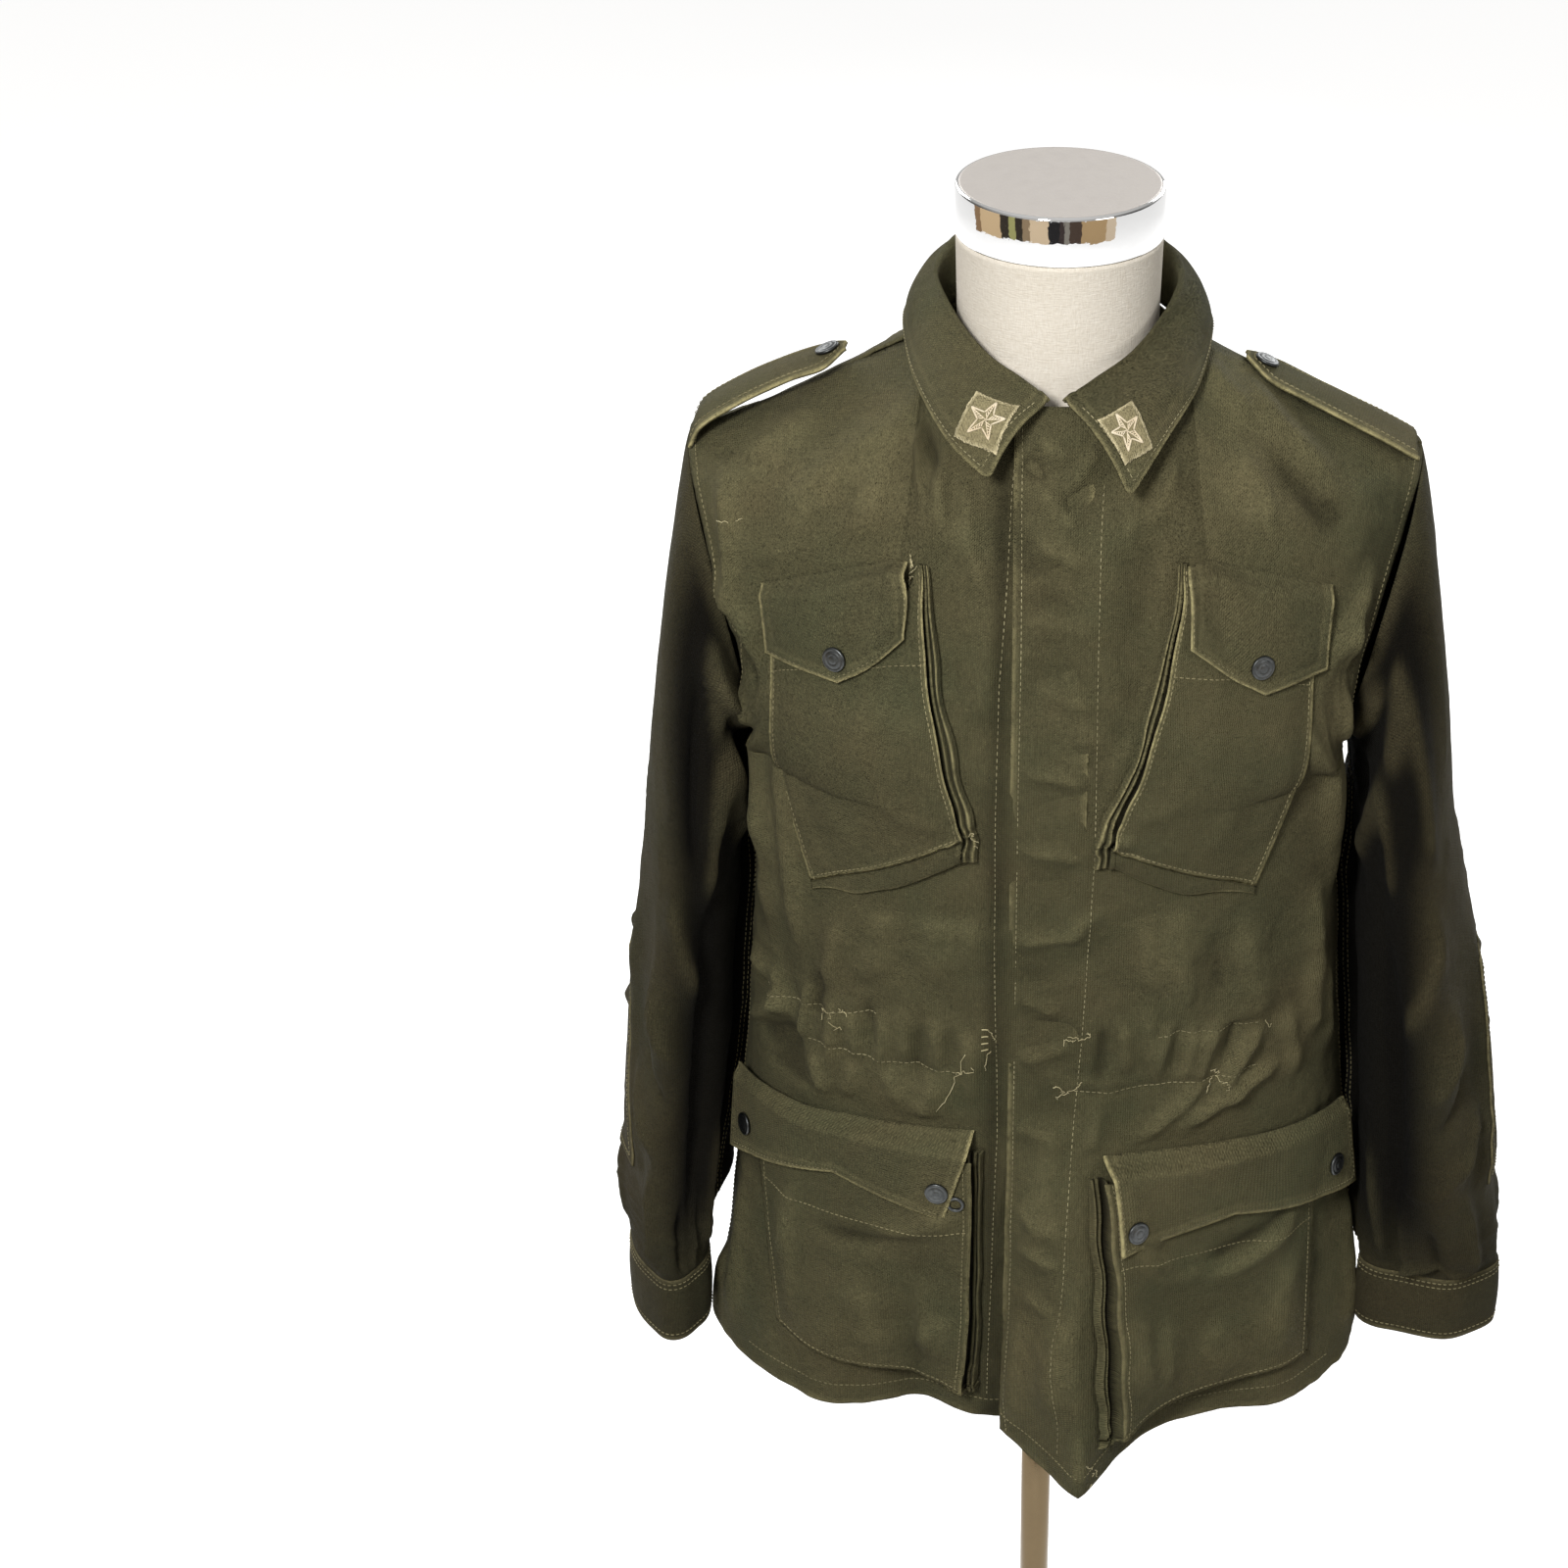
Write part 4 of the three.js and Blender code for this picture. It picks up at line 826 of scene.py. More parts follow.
def cloth_material(name, warm, green, worn):
    """Faded cotton twill: two tones in soft patches, slubs, and small rubbed marks. The attribute that
    carries wear and painted shade is above 0 where the cloth is rubbed pale and below 0 where shade is
    painted: in hollows, beside the fly and on the sleeves' inner sides."""
    nodes = Nodes(name)
    place = nodes.add("TexCoord").outputs["Object"]
    uv, woven = weave_heights(nodes)
    base = nodes.mix(nodes.noise(place, 9.0, 5.0, 0.6), warm, green)
    clouds = nodes.noise(place, 24.0, 6.0, 0.68, 0.35, 0.7)
    slubbed = nodes.add("Mapping", {"Vector": uv, "Scale": (1.0, 0.25, 1.0)}).outputs[0]
    grain = nodes.noise(uv, 1100.0, 1.0, 0.5, 0.3, 0.7)
    for marks, amount, tone in (
        (clouds, 0.36, shade(warm, 0.5)),
        (nodes.noise(place, 15.0, 6.0, 0.65, 0.52, 0.8), 0.07, worn),
        (nodes.noise(slubbed, 700.0, 2.0, 0.5, 0.5, 0.8), 0.1, worn),
        (grain, 0.4, shade(warm, 0.4)),
        (woven, 0.26, worn),
        (nodes.noise(place, 420.0, 2.0, 0.6, 0.4, 0.7), 0.3, shade(warm, 0.5)),
        (nodes.noise(place, 620.0, 0.0, 0.5, 0.79, 0.84), 0.22, worn),
    ):
        base = nodes.tint(base, marks, amount, tone)
    wear_and_shade = nodes.add("Attribute", attribute_name="wear_and_shade").outputs["Fac"]
    # Below 0 the attribute paints shade: the colour goes towards nearly black
    painted_shade_share = nodes.math("MAXIMUM", nodes.math("MULTIPLY", wear_and_shade, -1.0), 0.0)
    base = nodes.mix(painted_shade_share, base, shade(warm, 0.05))
    base = nodes.tint(base, wear_and_shade, nodes.noise(place, 120.0, 4.0, 0.65, 0.2, 0.6), shade(worn, 1.5))
    normal = nodes.bump(nodes.noise(place, 48.0, 6.0, 0.66, 0.2, 0.8), 0.0034, 0.7)
    normal = nodes.bump(grain, 0.0007, 0.7, normal)
    normal = nodes.bump(woven, 0.0005, 0.8, normal)
    rough = nodes.math("MULTIPLY_ADD", clouds, 0.1)
    rough.node.inputs[2].default_value = 0.74
    return nodes.finish(
        Base_Color=base, Roughness=rough, Normal=normal,
        Sheen_Weight=0.012, Sheen_Roughness=0.5, Specular_IOR_Level=0.07,
    )


def thread_material(name, pale, dull):
    nodes = Nodes(name)
    place = nodes.add("TexCoord").outputs["Object"]
    base = nodes.mix(nodes.noise(place, 45.0, 3.0), pale, dull)
    twist = nodes.add("TexWave", {"Vector": place, "Scale": 900.0})
    return nodes.finish(Base_Color=base, Roughness=0.85, Normal=nodes.bump(twist.outputs["Fac"], 0.0001))


def linen_material():
    """Unbleached linen drawn tight, with slubs both ways."""
    nodes = Nodes("linen")
    uv = nodes.add("UVMap", uv_map="cloth").outputs["UV"]
    wide = nodes.add("Mapping", {"Vector": uv, "Scale": (0.16, 1.0, 1.0)}).outputs[0]
    high = nodes.add("Mapping", {"Vector": uv, "Scale": (1.0, 0.16, 1.0)}).outputs[0]
    weft = nodes.noise(wide, 1100.0, 2.0, 0.6, 0.3, 0.7)
    warp = nodes.noise(high, 1100.0, 2.0, 0.6, 0.3, 0.7)
    both = nodes.math("ADD", weft, warp)
    base = nodes.tint(colour((232, 225, 212)), both, 0.5, colour((208, 198, 182)))
    patch = nodes.noise(nodes.add("TexCoord").outputs["Object"], 14.0, 3.0)
    base = nodes.tint(base, patch, 0.25, colour((196, 186, 166)))
    return nodes.finish(Base_Color=base, Roughness=0.92, Normal=nodes.bump(both, 0.00025, 0.5))


def metal_material(name, tone, rough, scratches, marks, metallic=1.0):
    nodes = Nodes(name)
    place = nodes.add("TexCoord").outputs["Object"]
    worn = nodes.noise(place, scratches, 4.0, 0.7, 0.35, 0.7)
    base = nodes.tint(tone, worn, marks, shade(tone, 0.4))
    roughness = nodes.math("MULTIPLY_ADD", worn, 0.4 * rough)
    roughness.node.inputs[2].default_value = rough
    normal = nodes.bump(nodes.noise(place, 3 * scratches, 2.0), 0.00004, 0.5)
    return nodes.finish(Base_Color=base, Roughness=roughness, Normal=normal, Metallic=metallic)


WARM, GREEN = colour((94, 87, 62)), colour((77, 79, 56))
WORN = colour((148, 139, 100))
JACKET = cloth_material("jacket_twill", WARM, GREEN, WORN)
# The sleeves' twill, also on the cuffs and elbow patches, is the jacket's made about a quarter darker:
# painted shade for the shadow the sleeves hang in
SLEEVE = cloth_material("sleeve_twill", colour((70, 63, 44)), colour((58, 58, 41)), colour((118, 110, 80)))
BADGE = cloth_material(
    "badge_cloth", colour((152, 141, 106)), colour((138, 130, 96)), colour((196, 184, 148))
)
LINEN = linen_material()
SEAM_THREAD = thread_material("seam_thread", colour((162, 152, 112)), colour((118, 110, 78)))
PALE_THREAD = thread_material("pale_thread", colour((232, 220, 176)), colour((196, 184, 138)))
STAR_THREAD = thread_material("star_thread", colour((246, 234, 208)), colour((226, 208, 176)))
FLY_THREAD = thread_material("fly_thread", colour((184, 174, 134)), colour((132, 124, 90)))
GUNMETAL = metal_material("gunmetal", colour((84, 86, 86)), 0.34, 240.0, 0.75)
CHROME = metal_material("chrome", colour((232, 232, 232)), 0.03, 60.0, 0.03)
CAP_TOP = metal_material("cap_top", colour((186, 180, 174)), 0.42, 120.0, 0.05, 0.25)
# The stand's metal is tinted dark brown: painted reflection of brown surroundings
POLE_METAL = metal_material("pole_metal", colour((112, 97, 74)), 0.12, 80.0, 0.1)


# Front and back panels
# The cloth under the fly is painted darker in a band beside the fly's edge, as in the photo
FLY_SHADE = {"across": 30, "wide": 7, "dark": 0.5}


def crease_wear_and_shade(rise, pale=0.07, dark=0.46):
    """From creases: pale wear on ridges, and painted shade in hollows."""
    return pale * smooth(rise, 0.8, 3.6) - dark * smooth(-rise, 0.6, 3.6)


def body_panel(name, panel, node, sides):
    count = panel.body.count
    points, a, up = panel.points, panel.across, panel.up
    if node != "back":
        past = math.ceil(OVERLAP / HALF_PANEL * count)
        keep = count + past + 1
        points, a, up = points[:, :keep], a[:, :keep], up[:, :keep]
    # Pale wear at the edges and on ridges, and painted shade in the creases' hollows
    wear_and_shade = 0.55 * bump_at(border(points, sides), 0, 2.2) + crease_wear_and_shade(panel.fine[:, :points.shape[1]])
    if node == "front_right":
        # Painted shade in a band beside the fly's edge
        wear_and_shade = wear_and_shade - FLY_SHADE["dark"] * bump_at(a, FLY_SHADE["across"], FLY_SHADE["wide"])
    uv = np.stack([a * panel.side, up], -1)
    shell(name, points, panel.out, CLOTH, JACKET, uv, wear_and_shade, replaces=[node])


body_panel("jacket_front_left", PANELS["left"], "front_left", ["low", "last"])
body_panel("jacket_front_right", PANELS["right"], "front_right", ["low", "last"])
body_panel("jacket_back", PANELS["back"], "back", ["low"])

# Lines of stitches on each panel, by places across and up, and how far in they run from its edges
FLY_EDGE = [(-19, 1180), (-18, 1060), (-18, 900), (-18, 700), (-18, 600), (-18, 492)]
FLY_INNER = [(29, 1150), (28, 1127), (28, 931), (23, 794), (16, 677), (13, 611), (12, 508)]
UNDER_EDGE = [
    (23, 1166), (25, 1143), (27, 1100), (31, 1040), (31, 880), (29, 790), (28, 719), (31, 600), (33, 508),
]
HEM_UP = HEM + 15
HEM_ENDS = {"left": (-22, 208), "right": (-22, 208), "back": (-212, 212)}
# How far in from the side seams two rows run, and one row from the armhole's edge
SEAM_INSETS, ARMHOLE_INSET = (3.5, 9), 5
# The fly's stitches: their length and thickness, and how far apart they are in close and in open rows
FLY_STITCH = {"long": 2.8, "thick": 0.27}
CLOSE, OPEN = 1.0, 1.4


def side_line(panel, inset, low, high):
    ups = np.linspace(low, high, 40)
    return [(panel.body.length(up) - inset, up) for up in ups]


def panel_stitches():
    threads, pale, channel = Threads(), Threads(), Threads()
    left, right, back = PANELS["left"], PANELS["right"], PANELS["back"]
    for panel, line, gap in ((left, FLY_EDGE, CLOSE), (left, FLY_INNER, OPEN), (right, UNDER_EDGE, OPEN)):
        panel_rows(pale, panel, line, gap=gap, **FLY_STITCH)
    for name, ends in HEM_ENDS.items():
        panel_rows(threads, PANELS[name], [(across, HEM_UP) for across in ends])
    for panel in (left, right):
        for inset in SEAM_INSETS:
            panel_rows(threads, panel, side_line(panel, inset, HEM + 4, ARMPIT))
        panel_rows(threads, panel, side_line(panel, ARMHOLE_INSET, ARMPIT + 6, 1180))
    for side in (-1, 1):
        places = side_line(back, ARMHOLE_INSET, HEM + 4, 1185)
        panel_rows(threads, back, [(side * a, up) for a, up in places])
    for name, panel in PANELS.items():
        for line in CHANNEL[name].values():
            panel_rows(channel, panel, line, long=3.0, gap=0.7, thick=0.27)
    threads.build("stitches_panels", SEAM_THREAD)
    pale.build("stitches_fly", FLY_THREAD)
    channel.build("stitches_channel", FLY_THREAD)


def loose_thread(threads, panel, start, end, curl, seed, thick=0.22, lift=0.7):
    """A thread end that lies on a panel, wandering a little between two places."""
    random = np.random.default_rng(seed)
    count = 14
    share = np.linspace(0, 1, count)
    wander = np.cumsum(random.uniform(-1, 1, (count, 2)), axis=0) * curl
    wander -= share[:, None] * wander[-1]
    places = lerp(np.array(start, float), np.array(end, float), share[:, None]) + wander
    heights = lift + 0.5 * np.abs(np.sin(share * 7 + seed))
    line = panel.on(places[:, 0], places[:, 1], heights, plain=False)
    threads.tube(line, np.full(count, thick))


# Loose thread ends: panel, from a place to a place, and how much each one wanders
LOOSE = [
    ("right", (134, 797), (128, 786), 2.2),
    ("right", (136, 796), (141, 788), 2.4),
    ("right", (131, 799), (124, 796), 2.0),
    ("right", (226, 780), (230, 790), 2.0),
    ("right", (48, 786), (66, 738), 2.6),
    ("right", (52, 767), (44, 776), 1.6),
    ("right", (33, 788), (36, 772), 1.0),
    ("right", (34, 804), (30, 797), 1.2),
    ("right", (256, 1126), (250, 1124), 0.4),
    ("right", (246, 1125), (241, 1126), 0.4),
    ("left", (21, 795), (15, 801), 1.4),
    ("left", (22, 794), (28, 800), 1.6),
    ("left", (19, 796), (12, 792), 1.4),
    ("left", (15, 757), (8, 762), 1.6),
    ("left", (16, 756), (9, 750), 1.6),
    ("left", (17, 757), (24, 764), 1.4),
    ("left", (108, 759), (102, 748), 2.2),
    ("left", (106, 760), (114, 750), 2.4),
    ("left", (112, 760), (104, 766), 1.8),
    ("left", (141, 791), (147, 786), 1.4),
]
# Frayed threads where the chest pockets' inner edges are raw: panel, across, up, and how far out they lie
FRAYED = [
    ("left", 90, 1100, 1068, 26, 3.0),
    ("right", 99, 1098, 1072, 20, 3.0),
    ("right", 44, 950, 938, 5, 8.0),
    ("left", 171, 605, 588, 5, 3.0),
    ("left", 30, 512, 500, 5, 4.0),
]
# Short tacks one above another beside the fly, where the channel ends
TACKS = {"ups": (803, 798, 793, 788), "across": (34, 38), "points": 5, "lift": 0.35, "thick": 0.4}


def loose_threads():
    threads = Threads()
    for i, (name, start, end, curl) in enumerate(LOOSE):
        loose_thread(threads, PANELS[name], start, end, curl, 400 + i)
    random = np.random.default_rng(77)
    for name, across, high, low, count, lift in FRAYED:
        for i in range(count):
            up = random.uniform(low, high)
            start = (across + random.uniform(-2, 2), up)
            end = (across + random.uniform(-7, 3), up + random.uniform(-6, 6))
            loose_thread(threads, PANELS[name], start, end, 0.5, 500 + i, 0.16, lift)
    places = np.linspace(*TACKS["across"], TACKS["points"])
    for up in TACKS["ups"]:
        line = PANELS["right"].on(places, up, TACKS["lift"], plain=False)
        threads.tube(line, np.full(TACKS["points"], TACKS["thick"]))
    threads.build("loose_threads", PALE_THREAD)


panel_stitches()
loose_threads()

# Sleeves
SLEEVES = {
    "left": table(
        "down up x y half depth turn",
        (0, 905, 224, -3, 31, 84, 0),
        (1, 820, 235, -7, 37, 80, -3),
        (2, 735, 245, -14, 41, 73, -5),
        (3, 655, 252, -22, 44, 62, -7),
        (4, 598, 256, -29, 46, 44, -5),
        (5, 566, 259, -32, 46, 24, 0),
    ),
    "right": table(
        "down up x y half depth turn",
        (0, 905, 222, -3, 30, 84, 0),
        (1, 820, 229, -7, 32, 80, -3),
        (2, 735, 236, -12, 33, 74, -5),
        (3, 655, 243, -18, 30, 68, -8),
        (4, 598, 247, -24, 27, 56, -12),
        (5, 566, 247, -28, 25, 46, -14),
    ),
}
SLEEVE_END = 5
HEAD_SLACK = 0.5
ARMHOLE_GAP, TOP_GAP = 1.3, 2.4
HEAD_LEAVE = {"lowOut": 0.5, "lowDown": 0.85, "topOut": 0.3, "topDown": 1, "sideOut": 0.9, "sideUp": 0.55}
CUFF_DEEP = 48
SLEEVE_FOLDS = (
    (105, 20, 7, 0.6, 5.6),
    (62, 17, -5, 1.0, 5.4),
    (150, 18, -4, 1.5, 4.8),
    (245, 22, 6, 0.5, 4.6),
    (326, 26, 25, 0.35, 4.9),
)


def hanging(rows, down, turn):
    get = lambda name: along(rows, "down", down, name)
    x = -get("half") * np.cos(turn)
    y = -get("depth") * np.sin(turn)
    twist = np.radians(get("turn"))
    aside = x * np.cos(twist) - y * np.sin(twist)
    deep = x * np.sin(twist) + y * np.cos(twist)
    return np.stack(np.broadcast_arrays(get("x") + aside, get("y") + deep, get("up")), -1)


def sleeve_arm(rows, down, turn, lift):
    degrees = np.degrees(turn) % 360
    rise = np.zeros(np.broadcast(down, turn).shape) + lift
    for middle, width, height, start, end in SLEEVE_FOLDS:
        ends = smooth(down, start - 0.6, start + 0.6) * (1 - smooth(down, end - 1, end))
        rise = rise + height * ends * bump_at(degrees, middle, width)
    step = 0.08
    aside = hanging(rows, down, turn + step) - hanging(rows, down, turn - step)
    out = np.cross(aside, (0.0, 0.0, 1.0))
    out /= np.linalg.norm(out, axis=-1, keepdims=True)
    return hanging(rows, down, turn) + out * rise[..., None]


def sleeve_head(rows, t, turn):
    start, end = armhole(turn), hanging(rows, 0.0, turn)
    long = np.linalg.norm(end - start, axis=-1)
    top = (1 - np.cos(turn)) / 2
    beside = np.sin(turn) ** 2
    outward = lerp(HEAD_LEAVE["lowOut"], HEAD_LEAVE["topOut"], top) + HEAD_LEAVE["sideOut"] * beside
    upward = HEAD_LEAVE["sideUp"] * beside - lerp(HEAD_LEAVE["lowDown"], HEAD_LEAVE["topDown"], top)
    leave = np.stack([outward, np.zeros_like(outward), upward], -1)
    leave /= np.linalg.norm(leave, axis=-1, keepdims=True)
    start = start + leave * lerp(ARMHOLE_GAP, TOP_GAP, top**6)[..., None]
    arrive = np.array([0.12, 0, -1]) / math.hypot(0.12, 1)
    ease = t * t * (3 - 2 * t)
    early = (HEAD_SLACK * long * t * (1 - t) ** 2)[..., None] * leave
    late = (HEAD_SLACK * long * t * t * (t - 1))[..., None] * arrive
    return lerp(start, end, ease[..., None]) + early + late


# The side of each sleeve turned to the body, painted as dark as the shadow there in the photo: turns where
# it begins and ends, how much higher its front runs at the top, and places down
INSIDE = {
    "front": (76, 118), "higher": 22, "back": (-60, -10),
    "from": (-1.0, -0.85), "to": (3.2, 4.8), "dark": 0.97,
}
# The sleeve's cloth pressed against the body behind the armpit
UNDERARM = {"turn": -32, "wide": 26, "from": (-0.9, -0.55), "to": (0.1, 0.6), "left": 5, "right": 17}
# The cloth bunched under each arm: a fold that rises down to a sharp edge, by turn and places down
BUNCHED = {
    "left": {"turn": 48, "wide": 19, "from": -1.0, "edge": -0.74, "sharp": 0.07, "height": 9},
    "right": {"turn": 55, "wide": 21, "from": -1.0, "edge": -0.7, "sharp": 0.07, "height": 17},
}
# Creases round each sleeve: from a turn in degrees and a place down it, to another; width in
# degrees, height and bend
SLEEVE_CREASES = {
    "left": [
        (66, 190, 74, 300, 7, 3.0, 2), (92, 210, 96, 296, 6, -2.4, 1), (40, 150, 48, 280, 8, 2.6, 3),
        (110, 30, 78, 96, 9, 2.8, 5), (84, -44, 108, 12, 9, 2.4, 4), (58, -30, 70, 30, 8, 2.2, 3),
        (124, 84, 92, 130, 8, 2.6, 5), (140, 120, 100, 146, 7, -2.0, 4), (150, 140, 112, 176, 8, 2.4, 4),
        (128, 190, 122, 290, 8, 2.2, 3), (160, 60, 156, 210, 9, 2.0, 4), (60, 268, 120, 282, 5, 1.6, 3),
        (214, 96, 256, 124, 8, 2.8, 4), (206, 128, 262, 148, 7, 2.6, -4), (232, 150, 278, 184, 8, 2.4, 3),
        (244, 20, 262, 90, 9, 2.4, 4), (284, 60, 300, 160, 9, 2.6, 5), (300, 180, 292, 280, 8, 2.2, 3),
        (196, 200, 206, 288, 8, 2.0, 3), (90, -52, 66, -24, 9, 3.4, 3), (62, -26, 28, 24, 9, 3.2, -4),
        (34, -34, 20, -10, 8, -3.0, 0), (56, 30, 62, 280, 10, -2.4, 3),
    ],
    "right": [
        (58, 170, 64, 298, 7, 3.2, 2), (84, 200, 86, 292, 6, -2.4, 1), (38, 140, 44, 290, 8, 2.4, 3),
        (50, -40, 66, 40, 10, 3.4, 5), (84, -46, 70, 20, 8, -2.4, 4), (100, 20, 76, 84, 9, 2.6, 5),
        (118, 70, 90, 118, 8, 2.4, 5), (136, 110, 98, 138, 7, -2.0, 4), (146, 128, 110, 166, 8, 2.4, 4),
        (118, 180, 126, 286, 8, 2.2, -3), (154, 40, 150, 200, 9, 2.0, 4), (212, 90, 250, 120, 8, 2.8, 4),
        (204, 122, 258, 144, 7, 2.6, -4), (236, 146, 280, 178, 8, 2.4, 3), (240, 10, 258, 80, 9, 2.4, 4),
        (282, 50, 298, 150, 9, 2.6, 5), (304, 170, 296, 276, 8, 2.2, 3), (190, 190, 200, 290, 8, 2.0, 3),
        (86, -62, 62, -32, 9, 4.4, 3), (60, -34, 26, 20, 9, 4.4, -4), (34, -40, 20, -16, 8, -3.0, 0),
        (56, 20, 62, 280, 10, -2.6, 3),
    ],
}
SLEEVE_RELIEF = 1.1 * CREASE_SCALE
# Points round a sleeve, and down its head, its arm and its cuff
SLEEVE_COLUMNS, HEAD_ROWS, ARM_ROWS, CUFF_ROWS = 124, 38, 112, 30
# A sleeve's place down it and its turn in degrees, in the measures of its creases and its crumples
CREASE_DOWN, CRUMPLE_DOWN, CRUMPLE_ROUND = 60, 100, 1.2
# How many stitches' places are worked out along a sleeve's seam, and where its two rows run
SLEEVE_SEAM = {"count": 120, "turns": (352, 357), "from": -0.9, "to": 4.95}


def signed(degrees):
    """A turn as -180 to 180 degrees."""
    return (degrees + 180) % 360 - 180


class Sleeve:
    """A sleeve as a grid: rows of places down it, and columns of turns round it."""

    def __init__(self, name):
        side = SIDES[name]
        rows = SLEEVES[name]
        self.side = side
        self.turn = np.linspace(0, 2 * math.pi, SLEEVE_COLUMNS, endpoint=False)
        head = np.linspace(0, 1, HEAD_ROWS)[:-1]
        arm = np.linspace(0, SLEEVE_END, ARM_ROWS)
        turn, t = grid_of(self.turn, head)
        below = sleeve_arm(rows, *grid_of(self.turn, arm)[::-1], 0.0)
        points = np.concatenate([sleeve_head(rows, t, turn), below])
        points[..., 0] *= side
        self.down = np.concatenate([head - 1, arm])
        degrees, down = grid_of(np.degrees(self.turn), self.down)
        rise = SLEEVE_RELIEF * creases(SLEEVE_CREASES[name], degrees, down * CREASE_DOWN)
        seed = {"left": 70, "right": 90}[name]
        round_it, down_it = degrees * CRUMPLE_ROUND, down * CRUMPLE_DOWN
        rise += 1.1 * crumple(round_it, down_it, 66, seed) + 0.4 * crumple(round_it, down_it, 30, seed + 20)
        rise *= smooth(down, -1.0, -0.7) * (1 - smooth(down, 4.9, 5.0))
        fold = BUNCHED[name]
        bunched = smooth(down, fold["from"], fold["edge"]) ** 0.7
        bunched *= 1 - smooth(down, fold["edge"], fold["edge"] + fold["sharp"])
        bunched *= bump_at(signed(degrees), fold["turn"], fold["wide"])
        rise += fold["height"] * bunched
        behind = bump_at(signed(degrees), UNDERARM["turn"], UNDERARM["wide"])
        behind *= smooth(down, *UNDERARM["from"]) * (1 - smooth(down, *UNDERARM["to"]))
        rise += UNDERARM[name] * behind
        self.bunched = bunched
        self.rise = rise
        self.normals = grid_normals(points, side, True)
        self.points = points + self.normals * rise[..., None]

    def at(self, degrees, down, lift=0.0):
        """A point this far off the sleeve, at a turn round it and a place down it."""
        row = np.interp(down, self.down, np.arange(len(self.down)))
        column = (np.asarray(degrees, float) % 360) / 360 * len(self.turn)
        wrap = lambda values: np.concatenate([values, values[:, :1]], axis=1)
        place = look_up(wrap(self.points), row, column)
        return place + look_up(wrap(self.normals), row, column) * np.asarray(lift, float)[..., None]


def sleeve(name):
    made_sleeve = Sleeve(name)
    side = made_sleeve.side
    degrees, down = grid_of(np.degrees(made_sleeve.turn), made_sleeve.down)
    inside = signed(degrees)
    lowered = inside - INSIDE["higher"] * (1 - smooth(down, -0.6, 0.4))
    hidden = smooth(inside, *INSIDE["back"]) * (1 - smooth(lowered, *INSIDE["front"]))
    hidden *= smooth(down, *INSIDE["from"]) * (1 - smooth(down, *INSIDE["to"]))
    hidden *= 1 - smooth(made_sleeve.bunched, 0.05, 0.35)
    hidden *= 1 - 0.7 * smooth(made_sleeve.rise, 3, 9)
    # Pale wear on ridges, painted shade in the creases' hollows, and painted shadow on the side turned to the
    # body
    wear_and_shade = crease_wear_and_shade(made_sleeve.rise / CREASE_SCALE) - INSIDE["dark"] * hidden
    shell(
        "jacket_sleeve_" + name, made_sleeve.points, side, CLOTH, SLEEVE,
        np.stack([degrees * 1.1, down * 110], -1), wear_and_shade, ring=True, replaces=["sleeve_" + name],
    )
    turn, fallen = grid_of(made_sleeve.turn, np.linspace(0, CUFF_DEEP, CUFF_ROWS))
    swell = 0.4 + 1.4 * np.sin(math.pi * fallen / CUFF_DEEP) + 0.4 * fallen / CUFF_DEEP
    points = sleeve_arm(SLEEVES[name], np.full_like(turn, float(SLEEVE_END)), turn, swell)
    points[..., 2] = SLEEVES[name]["up"][-1] - fallen
    points[..., 0] *= side
    wear_and_shade = 0.8 * bump_at(fallen, CUFF_DEEP, 2.0) + 0.5 * bump_at(fallen, 0, 2.0)
    shell(
        "jacket_cuff_" + name, points, side, DOUBLE, SLEEVE,
        np.stack([np.degrees(turn) * 0.9, fallen], -1), wear_and_shade, ring=True, replaces=["cuff_" + name],
    )
    threads = Threads()
    seam_downs = np.linspace(SLEEVE_SEAM["from"], SLEEVE_SEAM["to"], SLEEVE_SEAM["count"])
    for seam_turn in SLEEVE_SEAM["turns"]:
        turns = np.full_like(seam_downs, seam_turn)
        line = made_sleeve.at(turns, seam_downs)
        threads.stitches(line, made_sleeve.at(turns, seam_downs, 1.0) - line)
    normals = grid_normals(points, side, True)
    for drop_at in (2.5, 6.5, CUFF_DEEP - 5):
        row = round(drop_at / CUFF_DEEP * (CUFF_ROWS - 1))
        line, out = (np.concatenate([grid[row], grid[row, :1]]) for grid in (points, normals))
        threads.stitches(line, out)
    threads.build("stitches_sleeve_" + name, SEAM_THREAD)
    return made_sleeve


MADE_SLEEVES = {name: sleeve(name) for name in SIDES}

# Collar: stand, roll and fall, in one piece
def collar_rows(*point):
    """Places round the collar, of its roll and of its outer edge, from a front point of the edge."""
    return table(
        "at turn rollX rollY rollZ edgeX edgeY edgeZ",
        (0, 7, 5.4, -85, 1201, *point),
        (1, 24, 22, -74, 1208, 62, -100, 1179),
        (2, 48, 47, -54, 1220, 82, -55, 1195),
        (3, 80, 69, -14, 1235, 91, -6, 1204),
        (4, 110, 72, 22, 1243, 90, 34, 1206),
        (5, 142, 51, 60, 1250, 68, 76, 1206),
        (6, 180, 0, 75, 1253, 0, 97, 1206),
    )


COLLAR = {"left": collar_rows(43, -127, 1157), "right": collar_rows(38, -124, 1165)}
COLLAR_END = 6
ROLL = 3.4
BULGE = {"out": 3, "up": 4.5}
STAND_LIFT = {"front": 3.4, "behind": 0.8, "from": 7, "until": 45}


